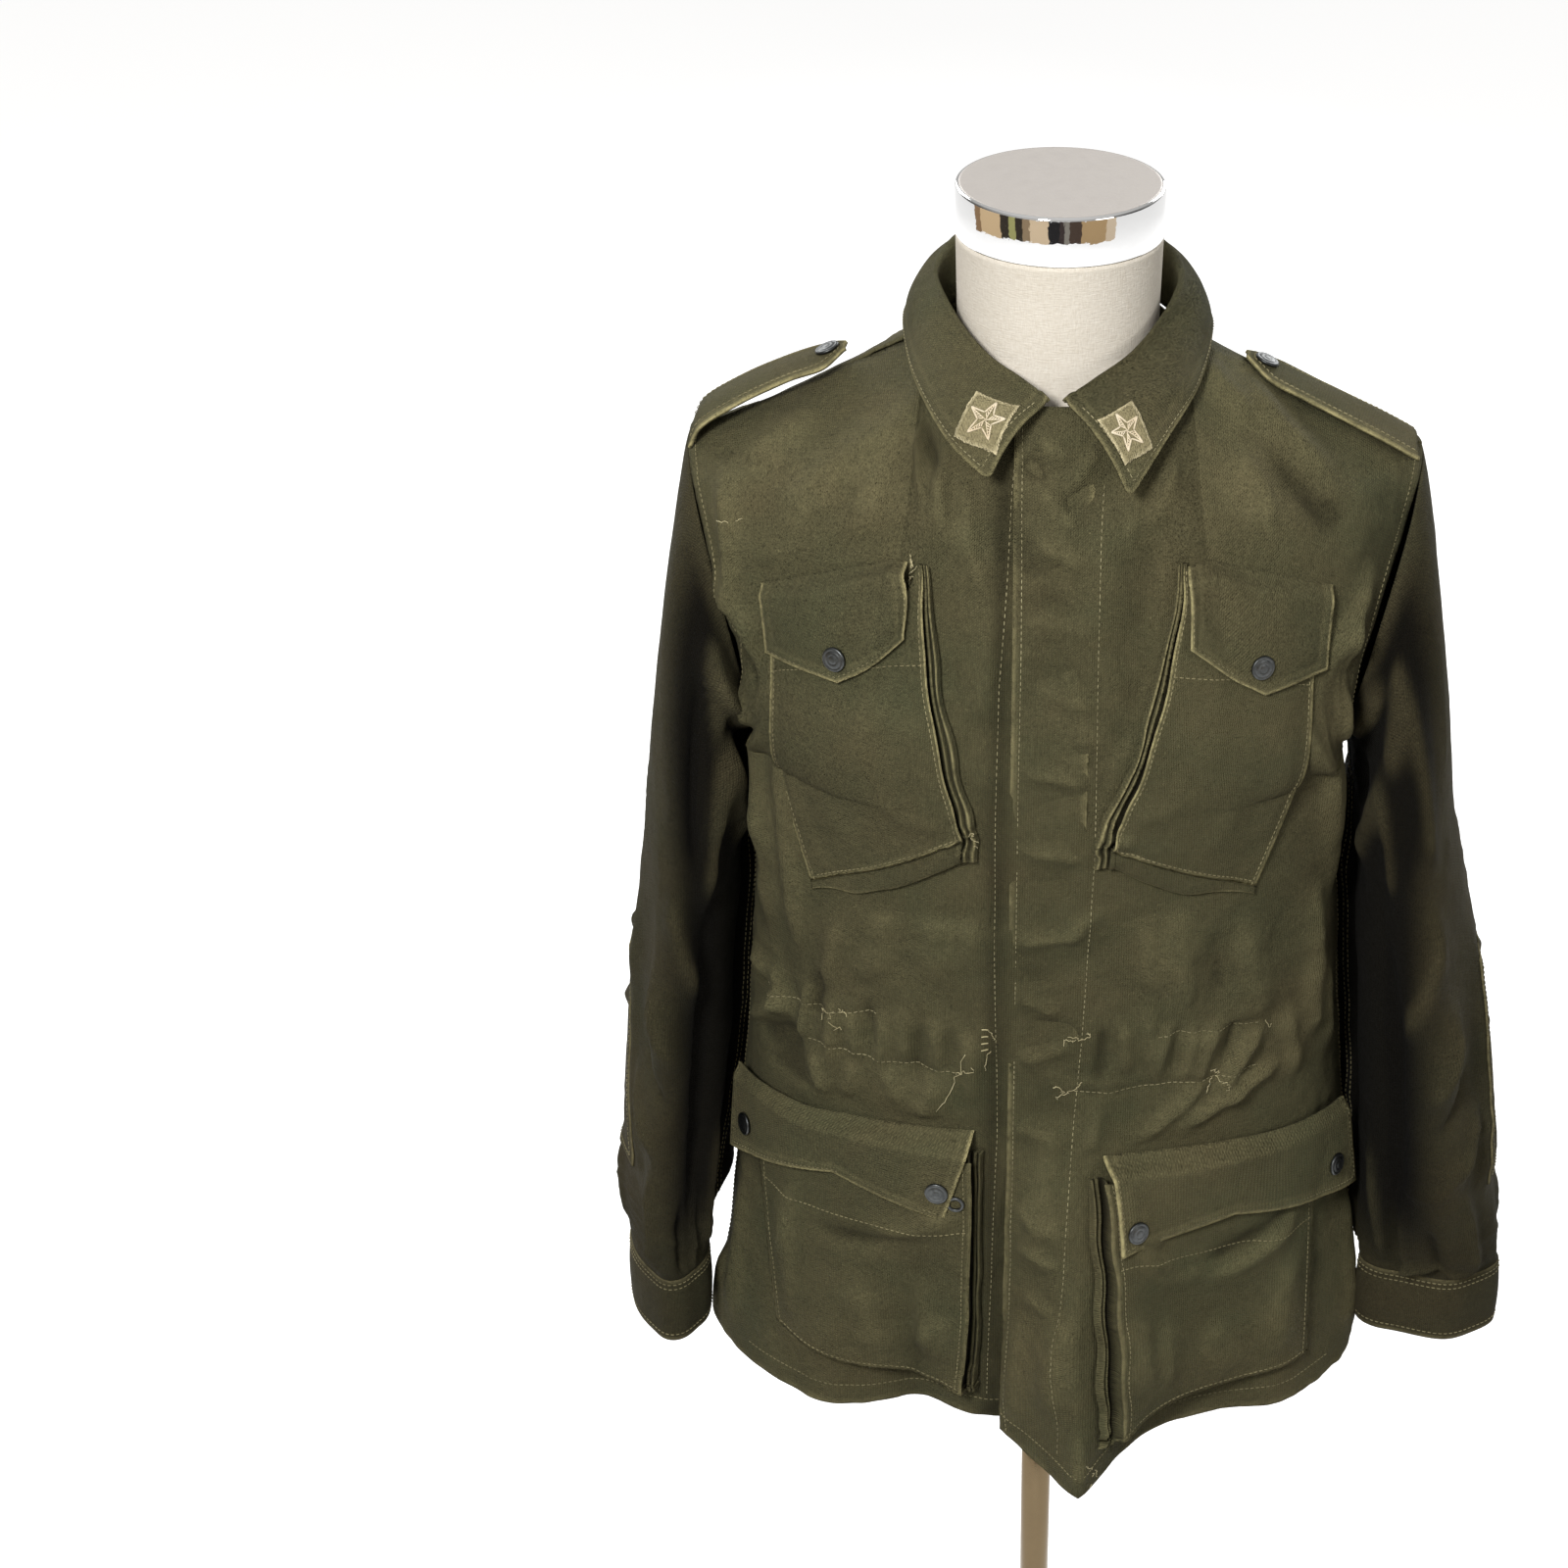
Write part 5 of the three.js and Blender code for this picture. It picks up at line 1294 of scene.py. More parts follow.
def collar_knots(rows, at):
    """The eight corners of the collar's section: stand, roll and fall."""
    get = lambda name: along(rows, "at", at, name)
    foot = neckline(get("turn"))
    behind = smooth(get("turn"), STAND_LIFT["from"], STAND_LIFT["until"])
    foot[..., 2] += lerp(STAND_LIFT["front"], STAND_LIFT["behind"], behind)
    roll = np.stack([get("rollX"), get("rollY"), get("rollZ")], -1)
    edge = np.stack([get("edgeX"), get("edgeY"), get("edgeZ")], -1)
    out = (edge - foot) * (1, 1, 0)
    out /= np.linalg.norm(out, axis=-1, keepdims=True)
    drop = np.array([0, 0, -ROLL])
    inside, outside = roll - out * ROLL + drop, roll + out * ROLL + drop
    bulge = out * BULGE["out"] + np.array([0, 0, BULGE["up"]])
    return np.stack([
        foot, lerp(foot, inside, 0.5), inside, roll, outside,
        lerp(outside, edge, 0.33) + bulge, lerp(outside, edge, 0.67) + bulge, edge,
    ])


def collar_point(rows, side, at, down):
    """A point of the collar. Down is 0 at the foot, 3 at the roll, 4 below it and 7 at the outer edge."""
    knots = collar_knots(rows, at)
    i = np.clip(np.floor(down).astype(int), 0, 6)
    t = np.asarray(down - i, float)[..., None]
    pick = lambda k: np.take_along_axis(knots, np.clip(k, 0, 7)[None, ..., None], 0)[0]
    a, b, c, d = pick(i - 1), pick(i), pick(i + 1), pick(i + 2)
    curve = 2 * b + (c - a) * t + (2 * a - 5 * b + 4 * c - d) * t**2 + (3 * b - a - 3 * c + d) * t**3
    return curve / 2 * (side, 1, 1)


def fall_surface(name):
    """The fall of one half of the collar: s is 0 at its front end and 6 behind, t 0 at the roll."""
    side = SIDES[name]
    return Surface(lambda s, t: collar_point(COLLAR[name], side, s, 4 + 3 * t), side)


# How far the collar's points are rounded, along the edge and down the fall
TIP = {"along": 0.24, "deep": 0.36}


def rounded_tip(at, down):
    """Places on the collar with the corner at its front point drawn in on a round."""
    u = 1 - at / TIP["along"]
    v = 1 - (7 - down) / TIP["deep"]
    corner = (u > 0) & (v > 0)
    u_in, v_in = np.clip(u, 0, 1), np.clip(v, 0, 1)
    along_in = u_in * np.sqrt(1 - v_in**2 / 2)
    down_in = v_in * np.sqrt(1 - u_in**2 / 2)
    at = np.where(corner, TIP["along"] * (1 - along_in), at)
    return at, np.where(corner, 7 - TIP["deep"] * (1 - down_in), down)


def collar():
    at = np.concatenate([np.linspace(0, 2, 50)[:-1], np.linspace(2, COLLAR_END, 70)])
    down = np.concatenate([np.linspace(0, 2, 9)[:-1], np.linspace(2, 4, 17)[:-1], np.linspace(4, 7, 34)])
    places = rounded_tip(*grid_of(at, down))
    right = collar_point(COLLAR["right"], -1, *places)[:, :-1]
    left = collar_point(COLLAR["left"], 1, *places)[:, ::-1]
    points = np.concatenate([right, left], axis=1)
    edge = border(points, ["high", "first", "last"])
    far = border(points, ["first"])
    puff = 0.4 * bump_at(edge, 4, 2.4) - 0.4 * bump_at(edge, 7.5, 1.4)
    ripple = 0.5 * noise(far, border(points, ["low"]), 26, 30, 5) * smooth(edge, 0, 6)
    points = points + grid_normals(points, -1) * (puff + ripple)[..., None]
    wear_and_shade = 0.5 * bump_at(edge, 0, 1.6) + 0.1 * bump_at(edge, 8.5, 1.5)
    uv = np.stack([far, border(points, ["low"])], -1)
    shell("jacket_collar", points, -1, DOUBLE, JACKET, uv, wear_and_shade, replaces=["collar"])
    threads = Threads()
    low, high = 26, points.shape[0] - 3.9
    first, last = 5, points.shape[1] - 6
    rim = [(low, first), (high, first), (high, last), (low, last)]
    grid_rows(threads, points, grid_normals(points, -1), rim, gap=CLOSE, **FLY_STITCH)
    threads.build("stitches_collar", FLY_THREAD)


collar()

# Star patches near the collar's points: a square of cloth with a five-pointed star worked on it
PATCHES = {
    "left": {
        "bottomInner": (0.18, 0.76),
        "bottomOuter": (0.8, 0.88),
        "topInner": (0.22, 0.3),
        "topOuter": (1.06, 0.4),
    },
    "right": {
        "bottomInner": (0.08, 0.74),
        "bottomOuter": (0.94, 0.88),
        "topInner": (0.36, 0.2),
        "topOuter": (1.2, 0.38),
    },
}
PATCH_THICK, PATCH_GAP = 0.8, 1.0
STAR = {"middle": (0.5, 0.5), "outer": 0.42, "inner": 0.17}
PATCH_INSET = 0.09


def patch_surface(name):
    fall = fall_surface(name)
    spec = PATCHES[name]

    def place(s, t):
        at, down = within(spec, s, t)
        return fall.at(at, down, PATCH_GAP + PATCH_THICK)

    return Surface(place, -SIDES[name])


def star_patch(name):
    surface = patch_surface(name)
    s, t = grid_of(np.linspace(0, 1, 24), np.linspace(0, 1, 24))
    ragged = 0.012 * noise(s * 100, t * 100, 6, 6, 3)
    points = surface.at(s + ragged * (np.abs(s - 0.5) > 0.48), t + ragged * (np.abs(t - 0.5) > 0.48))
    edge = border(points, ["low", "high", "first", "last"])
    points += surface.normal(s, t) * (-0.7 * bump_at(edge, 0, 1.5))[..., None]
    wear_and_shade = bump_at(edge, 0, 1.2)
    side = SIDES[name]
    uv = np.stack([s * 22, t * 22], -1)
    shell(
        "badge_" + name, points, -side, PATCH_THICK, BADGE, uv, wear_and_shade,
        replaces=["collar_patch_" + name],
    )
    threads = Threads()
    turn = np.radians(90 + 36 * np.arange(10) * side)
    reach = np.where(np.arange(10) % 2 == 0, STAR["outer"], STAR["inner"])
    middle = np.array(STAR["middle"])
    corners = middle + reach[:, None] * np.stack([np.cos(turn), np.sin(turn)], -1)
    for i in range(10):
        tip, valley = corners[i], corners[(i + 1) % 10]
        if i % 2:
            tip, valley = valley, tip
        thread_line(threads, surface, [tip, valley], 0.55)
        if i % 2:
            thread_line(threads, surface, [middle, tip], 0.36)
            continue
        for share in np.linspace(0.12, 0.92, 6):
            end = lerp(lerp(tip, valley, 1 - share), lerp(middle, valley, share), 0.15)
            thread_line(threads, surface, [lerp(middle, tip, share), end], 0.42)
    threads.build("badge_star_" + name, STAR_THREAD)
    low, high = PATCH_INSET, 1 - PATCH_INSET
    loop = [(low, low), (high, low), (high, high), (low, high), (low, low)]
    stitched("badge_stitches_" + name, surface, loop, lift=0.05, long=2.0, gap=1.1, thick=0.2)


def thread_line(threads, surface, corners, thick):
    """One worked thread on a surface, thin at its ends."""
    places = polyline(corners, 0.03)
    radii = np.full(len(places), thick)
    radii[[0, -1]] = 0.4 * thick
    threads.tube(surface.at(places[:, 0], places[:, 1], 0.25), radii)


for patch_name in PATCHES:
    star_patch(patch_name)

# Epaulettes
STRAPS = {
    "left": table(
        "along x half lift",
        (0, 217, 24, 3.2),
        (1, 196, 23.5, 5),
        (2, 172, 22.5, 5.5),
        (3, 148, 21, 6),
        (4, 127, 19.5, 7),
        (5, 113, 5, 7.5),
    ),
    "right": table(
        "along x half lift",
        (0, 219, 24, 2.8),
        (1, 211, 23.5, 13),
        (2, 186, 22.5, 17),
        (3, 160, 21, 17),
        (4, 139, 19.5, 15),
        (5, 126, 5, 14),
    ),
}
STRAP_DROOP = 0.007
STRAP_SNAP = {"along": 4.15, "lean": 0.42, "off": 0.6}


def strap_surface(name):
    rows = STRAPS[name]
    side = SIDES[name]

    def place(s, t):
        at = np.clip(t, 0, 1) * 5
        get = lambda key: along(rows, "along", at, key)
        share = NECK_SHARE * (ARMHOLE["outer"] - get("x")) / (ARMHOLE["outer"] - NECK["half"])
        seam = lerp(armhole(math.pi), neckline(90), (share / NECK_SHARE)[..., None])
        y = (2 * s - 1) * side * get("half")
        up = seam[..., 2] + get("lift") - STRAP_DROOP * y * y
        return np.stack([get("x") * side, seam[..., 1] + y, up], -1)

    return Surface(place, -1)


def epaulette(name):
    surface = strap_surface(name)
    s, t = grid_of(np.linspace(0, 1, 30), np.linspace(0, 1, 64))
    points = surface.at(s, t)
    edge = border(points, ["first", "last", "high"])
    rise = 0.4 * bump_at(edge, 2.5, 1.6) - 0.4 * bump_at(edge, 5.5, 1.2)
    rise += 0.5 * noise(s * 50, t * 110, 18, 22, 8)
    points = points + grid_normals(points, -1) * rise[..., None]
    wear_and_shade = 0.95 * bump_at(edge, 0, 1.8) + 0.3 * bump_at(edge, 5.5, 1.3)
    uv = np.stack([s * 46, t * 110], -1)
    shell("jacket_epaulette_" + name, points, -1, DOUBLE, JACKET, uv, wear_and_shade, replaces=["epaulette_" + name])
    rim = [(0.12, 0.02), (0.13, 0.78), (0.3, 0.93), (0.7, 0.93), (0.87, 0.78), (0.88, 0.02)]
    stitched("stitches_epaulette_" + name, surface, rim)
    side = SIDES[name]
    middle = surface.at(0.5, STRAP_SNAP["along"] / 5)
    out = np.array([STRAP_SNAP["lean"] * side, 0, 1]) / math.hypot(STRAP_SNAP["lean"], 1)
    snap("snap_cap_epaulette_" + name, middle + out * STRAP_SNAP["off"], out, "snap_epaulette_" + name)


# Snap caps: turned brass, blackened, with a rolled rim and a stamped ring
SNAP_PROFILE = (
    (7.5, -0.1), (7.5, 0.9), (7.25, 1.35), (6.75, 1.65), (6.2, 1.7), (5.75, 1.55), (5.5, 1.5),
    (5.1, 1.75), (4.2, 2.0), (3.2, 2.15), (2.9, 2.0), (2.55, 2.0), (2.2, 2.2), (1.2, 2.3), (0.0, 2.32),
)


# The radius of a turned shape where its profile meets its axis, and the points round a snap cap
NARROWEST = 0.02
SNAP_ROUND = 40


def turned(profile, count, middle=(0, 0, 0), out=(0, 0, 1)):
    """Points and faces of a turned shape about a line through its middle."""
    out = np.asarray(out, float)
    aside = np.cross((0.0, 0.0, 1.0) if abs(out[2]) < 0.9 else (0.0, 1.0, 0.0), out)
    aside /= np.linalg.norm(aside)
    other = np.cross(out, aside)
    turn = np.linspace(0, 2 * math.pi, count, endpoint=False)
    ring = aside * np.cos(turn)[:, None] + other * np.sin(turn)[:, None]
    points = [np.asarray(middle, float) + ring * max(r, NARROWEST) + out * up for r, up in profile]
    faces = []
    for i in range(len(profile) - 1):
        for j in range(count):
            k = (j + 1) % count
            faces.append((i * count + j, i * count + k, (i + 1) * count + k, (i + 1) * count + j))
    faces.append(tuple(reversed(range(count))))
    faces.append(tuple((len(profile) - 1) * count + j for j in range(count)))
    return np.concatenate(points), faces


def snap(name, middle, out, node):
    points, faces = turned(SNAP_PROFILE, SNAP_ROUND, middle, out)
    build(name, points, faces, GUNMETAL, replaces=[node])


for strap_name in STRAPS:
    epaulette(strap_name)


# Pockets
def pocket_lift(spec, place, up):
    """How far a pocket's face stands off its panel: most at its inner edge."""
    inner, outer = pocket_edges(spec, up)
    share = np.clip((place - inner) / (outer - inner), 0, 1)
    return POCKET_GAP + POCKET_CLOTH + spec["deep"] * (1 - share * share)


# Creases of each pocket's face: across from its inner edge and up from its bottom
POCKET_CREASES = {
    "chest_right": [
        (8, 10, 40, 44, 7, 2.0, 2), (30, 128, 44, 60, 9, 1.8, 2), (92, 20, 84, 92, 9, 1.6, 3),
        (6, 70, 30, 96, 6, 1.4, 1), (60, 8, 70, 40, 7, 1.4, 0),
    ],
    "chest_left": [
        (6, 20, 34, 54, 7, 1.8, 2), (24, 120, 36, 60, 9, 1.8, -2), (80, 16, 76, 96, 9, 1.6, 3),
        (50, 10, 60, 50, 7, 1.4, 0),
    ],
    "lower_right": [
        (4, 150, 60, 120, 9, 2.2, 4), (20, 128, 96, 112, 8, -1.8, 5), (16, 18, 30, 90, 10, 2.2, 3),
        (60, 10, 66, 84, 12, 1.8, 3), (120, 16, 112, 120, 10, 2.2, -4), (100, 150, 128, 60, 9, 1.8, 3),
        (6, 60, 40, 30, 8, 1.8, 2),
    ],
    "lower_left": [
        (14, 128, 70, 104, 10, 3.4, 9), (20, 112, 96, 116, 8, -2.4, 8), (60, 96, 124, 124, 10, 3.0, 8),
        (84, 112, 120, 134, 7, -2.0, 4), (8, 84, 22, 20, 9, 2.6, 3), (34, 70, 30, 10, 10, 2.2, -3),
        (70, 60, 84, 10, 11, 2.0, 3), (120, 90, 118, 14, 9, 2.0, 3), (6, 146, 34, 132, 7, 2.2, 2),
    ],
}
# The bellows: a fold of cloth between the face's edge and the panel, as distances out from that edge
# and shares of the face's lift
BELLOWS = table(
    "at out lift",
    (0, 0, 1),
    (1, -1.8, 0.8),
    (2, -2.8, 0.45),
    (3, -2.0, 0.1),
    (4, 0.6, 0.3),
    (5, 1.7, 0.46),
    (6, 2.7, 0.12),
    (7, 3.9, 0.34),
    (8, 4.9, 0.5),
    (9, 5.9, 0.4),
    (10, 6.7, 0.08),
    (11, 7.2, 0),
)
BELLOWS_END = 11
# The bellows at a pocket's foot: one broad band under the face's lower edge
FOOT = table(
    "at out lift",
    (0, 0, 1),
    (1, -0.9, 0.9),
    (2, -0.2, 0.72),
    (4, 4.2, 0.6),
    (7, 9.4, 0.5),
    (9, 12.6, 0.36),
    (10, 13.8, 0.14),
    (11, 14.2, 0),
)
BELLOWS_STEPS = 30
CORNER = {"reach": 15, "size": 7.5, "height": 3.4, "aside": 1.2}
# The heights of the stitched hem at each pocket's mouth, at its inner and outer edge
MOUTH_STITCH = {
    "chest_right": (1040, 1046),
    "chest_left": (1038, 1044),
    "lower_right": (652, 645),
    "lower_left": (636, 626),
}


def pocket(name):
    spec = POCKETS[name]
    panel = PANELS[spec["panel"]]
    seed = 110 + 10 * list(POCKETS).index(name)
    fold = np.linspace(BELLOWS_END, 0, BELLOWS_STEPS + 1)[:-1]
    foot = fold[::2]
    s = np.concatenate([-fold, np.linspace(0, 1, 56)])
    t = np.concatenate([-foot, np.linspace(0, 1, 68), 1 + spec["above"] * np.array([0.25, 0.5, 0.75, 1])])
    share, rise = grid_of(s, t)
    face_s, face_t = np.clip(share, 0, 1), np.clip(rise, 0, 2)
    narrowed = 1 + (face_t - 1) * lerp(1, 0.3, smooth(face_s, 0, 0.15))
    face_t = np.where(face_t > 1, narrowed, face_t)
    place, up = within(spec, face_s, face_t)
    lift = pocket_lift(spec, place, up)
    width = spec["bottomOuter"][0] - spec["bottomInner"][0]
    high = spec["topInner"][1] - spec["bottomInner"][1]
    inside = np.sin(math.pi * face_s) * smooth(face_t, 0, 0.08)
    fine = CREASE_SCALE * creases(POCKET_CREASES[name], face_s * width, face_t * high)
    fine = spec["relief"] * (fine + 0.6 * crumple(place, up, 52, seed))
    fine += 0.8 * noise(place, up, 60, 70, seed + 5)
    lift = lift + fine * smooth(inside, 0, 0.35)
    wave = noise(place, up, 30, 24, seed + 6) * smooth(face_s, 0.5, 0)
    aside, below = np.clip(-share, 0, BELLOWS_END), np.clip(-rise, 0, BELLOWS_END)
    uneven = 1 + 0.22 * noise(up, place, 26, 26, seed + 8)
    out_aside = along(BELLOWS, "at", aside, "out") * uneven * spec["beside"]
    out_below = along(FOOT, "at", below, "out") * uneven * spec["foot"]
    lower = np.minimum(along(BELLOWS, "at", aside, "lift"), along(FOOT, "at", below, "lift"))
    lower = np.where(np.maximum(aside, below) > 3, lower * spec["beside"], lower)
    ends = 1 - smooth(face_s, 0.5, 1)
    place = place - out_aside + wave
    up = up - out_below * lerp(0.35, 1, ends)
    tucked = 1 - 0.75 * smooth(face_t, 1.02, 1.14)
    lift = lerp(POCKET_GAP + POCKET_CLOTH, lift, lower * tucked)
    far_a, far_up = place - spec["bottomInner"][0], up - spec["bottomInner"][1]
    corner = np.exp(-((far_a**2 + far_up**2) / CORNER["reach"] ** 2))
    crumpled = corner * noise(place, up, CORNER["size"], CORNER["size"], seed + 12)
    lift = lift + CORNER["height"] * np.maximum(crumpled, -0.2)
    place = place + CORNER["aside"] * corner * noise(place, up, CORNER["size"], CORNER["size"], seed + 13)
    points = panel.on(place, up, lift)
    first_row, first_column = len(foot), len(fold)
    edge = border(points[first_row:, first_column:], ["low", "first", "last"])
    wear_and_shade = spec["pleatWear"] * (0.7 * bump_at(aside, 5, 0.5) + 0.9 * bump_at(aside, 8.2, 0.6))
    wear_and_shade += 0.5 * bump_at(below, 9.6, 0.6)
    # Painted shade in the hollows of the bellows, beside the face and under its foot; on the face, painted
    # shade in the creases' hollows
    wear_and_shade -= 0.95 * bump_at(aside, 2.9, 1.1) + 0.7 * bump_at(aside, 6.4, 0.5) + 0.5 * bump_at(below, 1.4, 0.5)
    on_face = crease_wear_and_shade(fine)[first_row:, first_column:]
    wear_and_shade[first_row:, first_column:] = spec["faceWear"] * bump_at(edge, 0, 1.3) + on_face
    uv = np.stack([place * panel.side, up], -1)
    shell(
        "jacket_pocket_" + name, points, -panel.side, PATCH_CLOTH, JACKET, uv, wear_and_shade,
        replaces=["pocket_" + name],
    )
    normals = grid_normals(points, -panel.side)
    rows, columns = points.shape[:2]
    top, foot_row = rows - 1, first_row + 1.2
    heights = np.sort(up[first_row:, -1])
    hem_in, hem_out = (
        first_row + np.interp(level, heights, np.arange(rows - first_row)) for level in MOUTH_STITCH[name]
    )
    threads = Threads()
    for line in (
        [(foot_row, first_column + 1.6), (top, first_column + 1.6)],
        [(foot_row, first_column + 1), (foot_row, columns - 3)],
        [(first_row, columns - 3), (top, columns - 3)],
        [(hem_in, first_column + 1), (hem_out, columns - 2)],
    ):
        grid_rows(threads, points, normals, line)
    threads.build("stitches_pocket_" + name, SEAM_THREAD)


def bent(row, share):
    """A place on the two straight lines through a row of three places."""
    first = np.clip(share * 2, 0, 1)
    second = np.clip(share * 2 - 1, 0, 1)
    return [a + (b - a) * first + (c - b) * second for a, b, c in zip(*row)]


def flap_surface(spec):
    panel = PANELS[spec["panel"]]

    def place(s, t):
        s, t = np.clip(s, 0, 1), np.clip(t, 0, 1)
        low, high = bent(spec["flapLow"], s), bent(spec["flapTop"], s)
        across, up = lerp(low[0], high[0], t), lerp(low[1], high[1], t)
        lift = pocket_lift(spec, across, up) + DOUBLE + spec["flapGap"] + spec["flapOff"] * s**2
        sewn = LAID_GAP + DOUBLE + spec["flapOff"] * s**2
        return panel.on(across, up, lerp(lift, sewn, smooth(t, 0.82, 1)))

    return Surface(place, -panel.side)


# The stitches of a flap: how far in from its sides, and as shares of its height
FLAP_INSET = {"side": 2.6, "foot": 0.065, "head": 0.97}


def flap(name):
    spec = POCKETS[name]
    panel = PANELS[spec["panel"]]
    surface = flap_surface(spec)
    s, t = grid_of(np.linspace(0, 1, 77), np.linspace(0, 1, 34))
    points = surface.at(s, t)
    edge = border(points, ["low", "first", "last"])
    seed = 210 + 10 * list(POCKETS).index(name)
    rise = 0.45 * bump_at(edge, 3, 1.8) - 0.45 * bump_at(edge, 6.5, 1.3)
    rise += 0.6 * noise(s * 130, t * 50, 30, 26, seed) * smooth(edge, 0, 14) * (1 - smooth(t, 0.8, 1))
    points = points + grid_normals(points, surface.out) * rise[..., None]
    wear_and_shade = 1.6 * bump_at(edge, 0, 1.3) + 0.1 * bump_at(edge, 6.5, 1.5)
    uv = np.stack([s * 130 * panel.side, t * 45], -1)
    shell("jacket_flap_" + name, points, surface.out, DOUBLE, JACKET, uv, wear_and_shade, replaces=["flap_" + name])
    side = FLAP_INSET["side"] / (spec["flapTop"][2][0] - spec["flapTop"][0][0])
    foot, head = FLAP_INSET["foot"], FLAP_INSET["head"]
    rim = [(side, head), (side, foot), (0.5, foot), (1 - side, foot), (1 - side, head)]
    stitched("stitches_flap_" + name, surface, rim, thick=0.26)
    reach = 6
    first, last = spec["flapLow"][0][0], spec["flapLow"][2][0]
    for i, (place, up, off) in enumerate(spec["snaps"]):
        share = (place - first) / (last - first)

        def outside(a, z):
            lift = pocket_lift(spec, a, z) + DOUBLE + spec["flapGap"] + spec["flapOff"] * share**2
            return panel.on(a, z, lift)

        aside = outside(place + reach, up) - outside(place - reach, up)
        upward = outside(place, up + reach) - outside(place, up - reach)
        out = np.cross(upward, aside) * -panel.side
        out /= np.linalg.norm(out)
        label = name + "_" + str(i + 1)
        snap("snap_cap_" + label, outside(place, up) + out * off, out, "snap_" + label)


# The socket ring of the open snap below the lower right flap's inner corner
SOCKET = {"pocket": "lower_right", "aside": 11, "below": 8, "round": 4.4, "thick": 1.1, "lift": 2.2}


def socket_ring():
    spec = POCKETS[SOCKET["pocket"]]
    across, up, _ = min(spec["snaps"])
    turn = np.linspace(0, 2 * math.pi, 33)
    a = across - SOCKET["aside"] + SOCKET["round"] * np.cos(turn)
    z = up - SOCKET["below"] + SOCKET["round"] * np.sin(turn)
    ring = Threads()
    path = PANELS[spec["panel"]].on(a, z, pocket_lift(spec, a, z) + SOCKET["lift"])
    ring.tube(path, np.full(33, SOCKET["thick"]), 8)
    ring.build("snap_socket_ring", GUNMETAL)


for pocket_name in POCKETS:
    pocket(pocket_name)
    flap(pocket_name)
socket_ring()


# Elbow patches: laid on the sleeves, over the same turns and places as the solids
ELBOW = {"first": 9 / 20 * 360, "last": 14 / 20 * 360, "high": 3 / 12 * 5, "low": 8 / 12 * 5}


def elbow_patch(name):
    made_sleeve = MADE_SLEEVES[name]
    side = made_sleeve.side

    def place(s, t):
        turn = lerp(ELBOW["first"], ELBOW["last"], s)
        down = lerp(ELBOW["high"], ELBOW["low"], t)
        return made_sleeve.at(turn, down, LAID_GAP + PATCH_CLOTH)

    surface = Surface(place, side)
    s, t = grid_of(np.linspace(0, 1, 44), np.linspace(0, 1, 60))
    points = surface.place(s, t)
    edge = border(points, ["low", "high", "first", "last"])
    pressed = 0.8 * bump_at(edge, 0, 2.0) + 0.3 * bump_at(edge, 5, 1.3)
    points = points - grid_normals(points, side) * pressed[..., None]
    wear_and_shade = 0.8 * bump_at(edge, 0, 2.0)
    uv = np.stack([s * 110, t * 150], -1)
    shell(
        "jacket_elbow_patch_" + name, points, side, PATCH_CLOTH, SLEEVE, uv, wear_and_shade,
        replaces=["elbow_patch_" + name],
    )
    loop = [(0.05, 0.04), (0.95, 0.04), (0.95, 0.96), (0.05, 0.96), (0.05, 0.04)]
    stitched("stitches_elbow_" + name, surface, loop)


for sleeve_name in MADE_SLEEVES:
    elbow_patch(sleeve_name)

# The form and its stand
FORM = table(
    "up half front back",
    (560, 140, 84, 80),
    (575, 150, 92, 88),
    (640, 158, 98, 92),
    (715, 158, 101, 90),
    (800, 161, 106, 93),
    (880, 165, 112, 99),
    (965, 166, 115, 103),
    (1030, 166, 112, 104),
    (1092.6, 165, 98, 98),
    (1129.6, 158, 80, 86),
    (1154.6, 140, 66, 72),
    (1173.6, 113, 61, 63),
    (1189.6, 90, 59, 60),
    (1200.6, 72, 58, 58),
    (1208, 60, 59, 59),
    (1230, 60, 60, 60),
    (1269.7, 61, 61, 61),
)


FORM_ROWS = {"body": 70, "neck": 24, "round": 128}
NECK_FOOT = 1208


def form():
    low, high = FORM["up"][0], FORM["up"][-1]
    body = np.linspace(low, NECK_FOOT, FORM_ROWS["body"])[:-1]
    ups = np.concatenate([body, np.linspace(NECK_FOOT, high, FORM_ROWS["neck"])])
    turn = np.linspace(0, 2 * math.pi, FORM_ROWS["round"], endpoint=False)
    turns, up = grid_of(turn, ups)
    half, front, back = (np.interp(up, FORM["up"], FORM[key]) for key in ("half", "front", "back"))
    deep = np.where(np.sin(turns) < 0, front, back)
    points = np.stack([half * np.cos(turns), deep * np.sin(turns), up], -1)
    rows, columns = points.shape[:2]
    index = np.arange(rows * columns).reshape(rows, columns)
    index = np.concatenate([index, index[:, :1]], axis=1)
    corners = [index[:-1, :-1], index[:-1, 1:], index[1:, 1:], index[1:, :-1]]
    faces = np.stack(corners, -1).reshape(-1, 4).tolist()
    faces.append(list(reversed(index[0, :-1].tolist())))
    faces.append(index[-1, :-1].tolist())
    uv = np.stack([turns * 61, up], -1).reshape(-1, 2)
    build("form_linen_cover", points.reshape(-1, 3), faces, LINEN, uv, None, ["form_torso"])


def turned_piece(name, profile, look, nodes, count=96):
    points, faces = turned(profile, count)
    build(name, points, faces, look, None, None, nodes)


form()
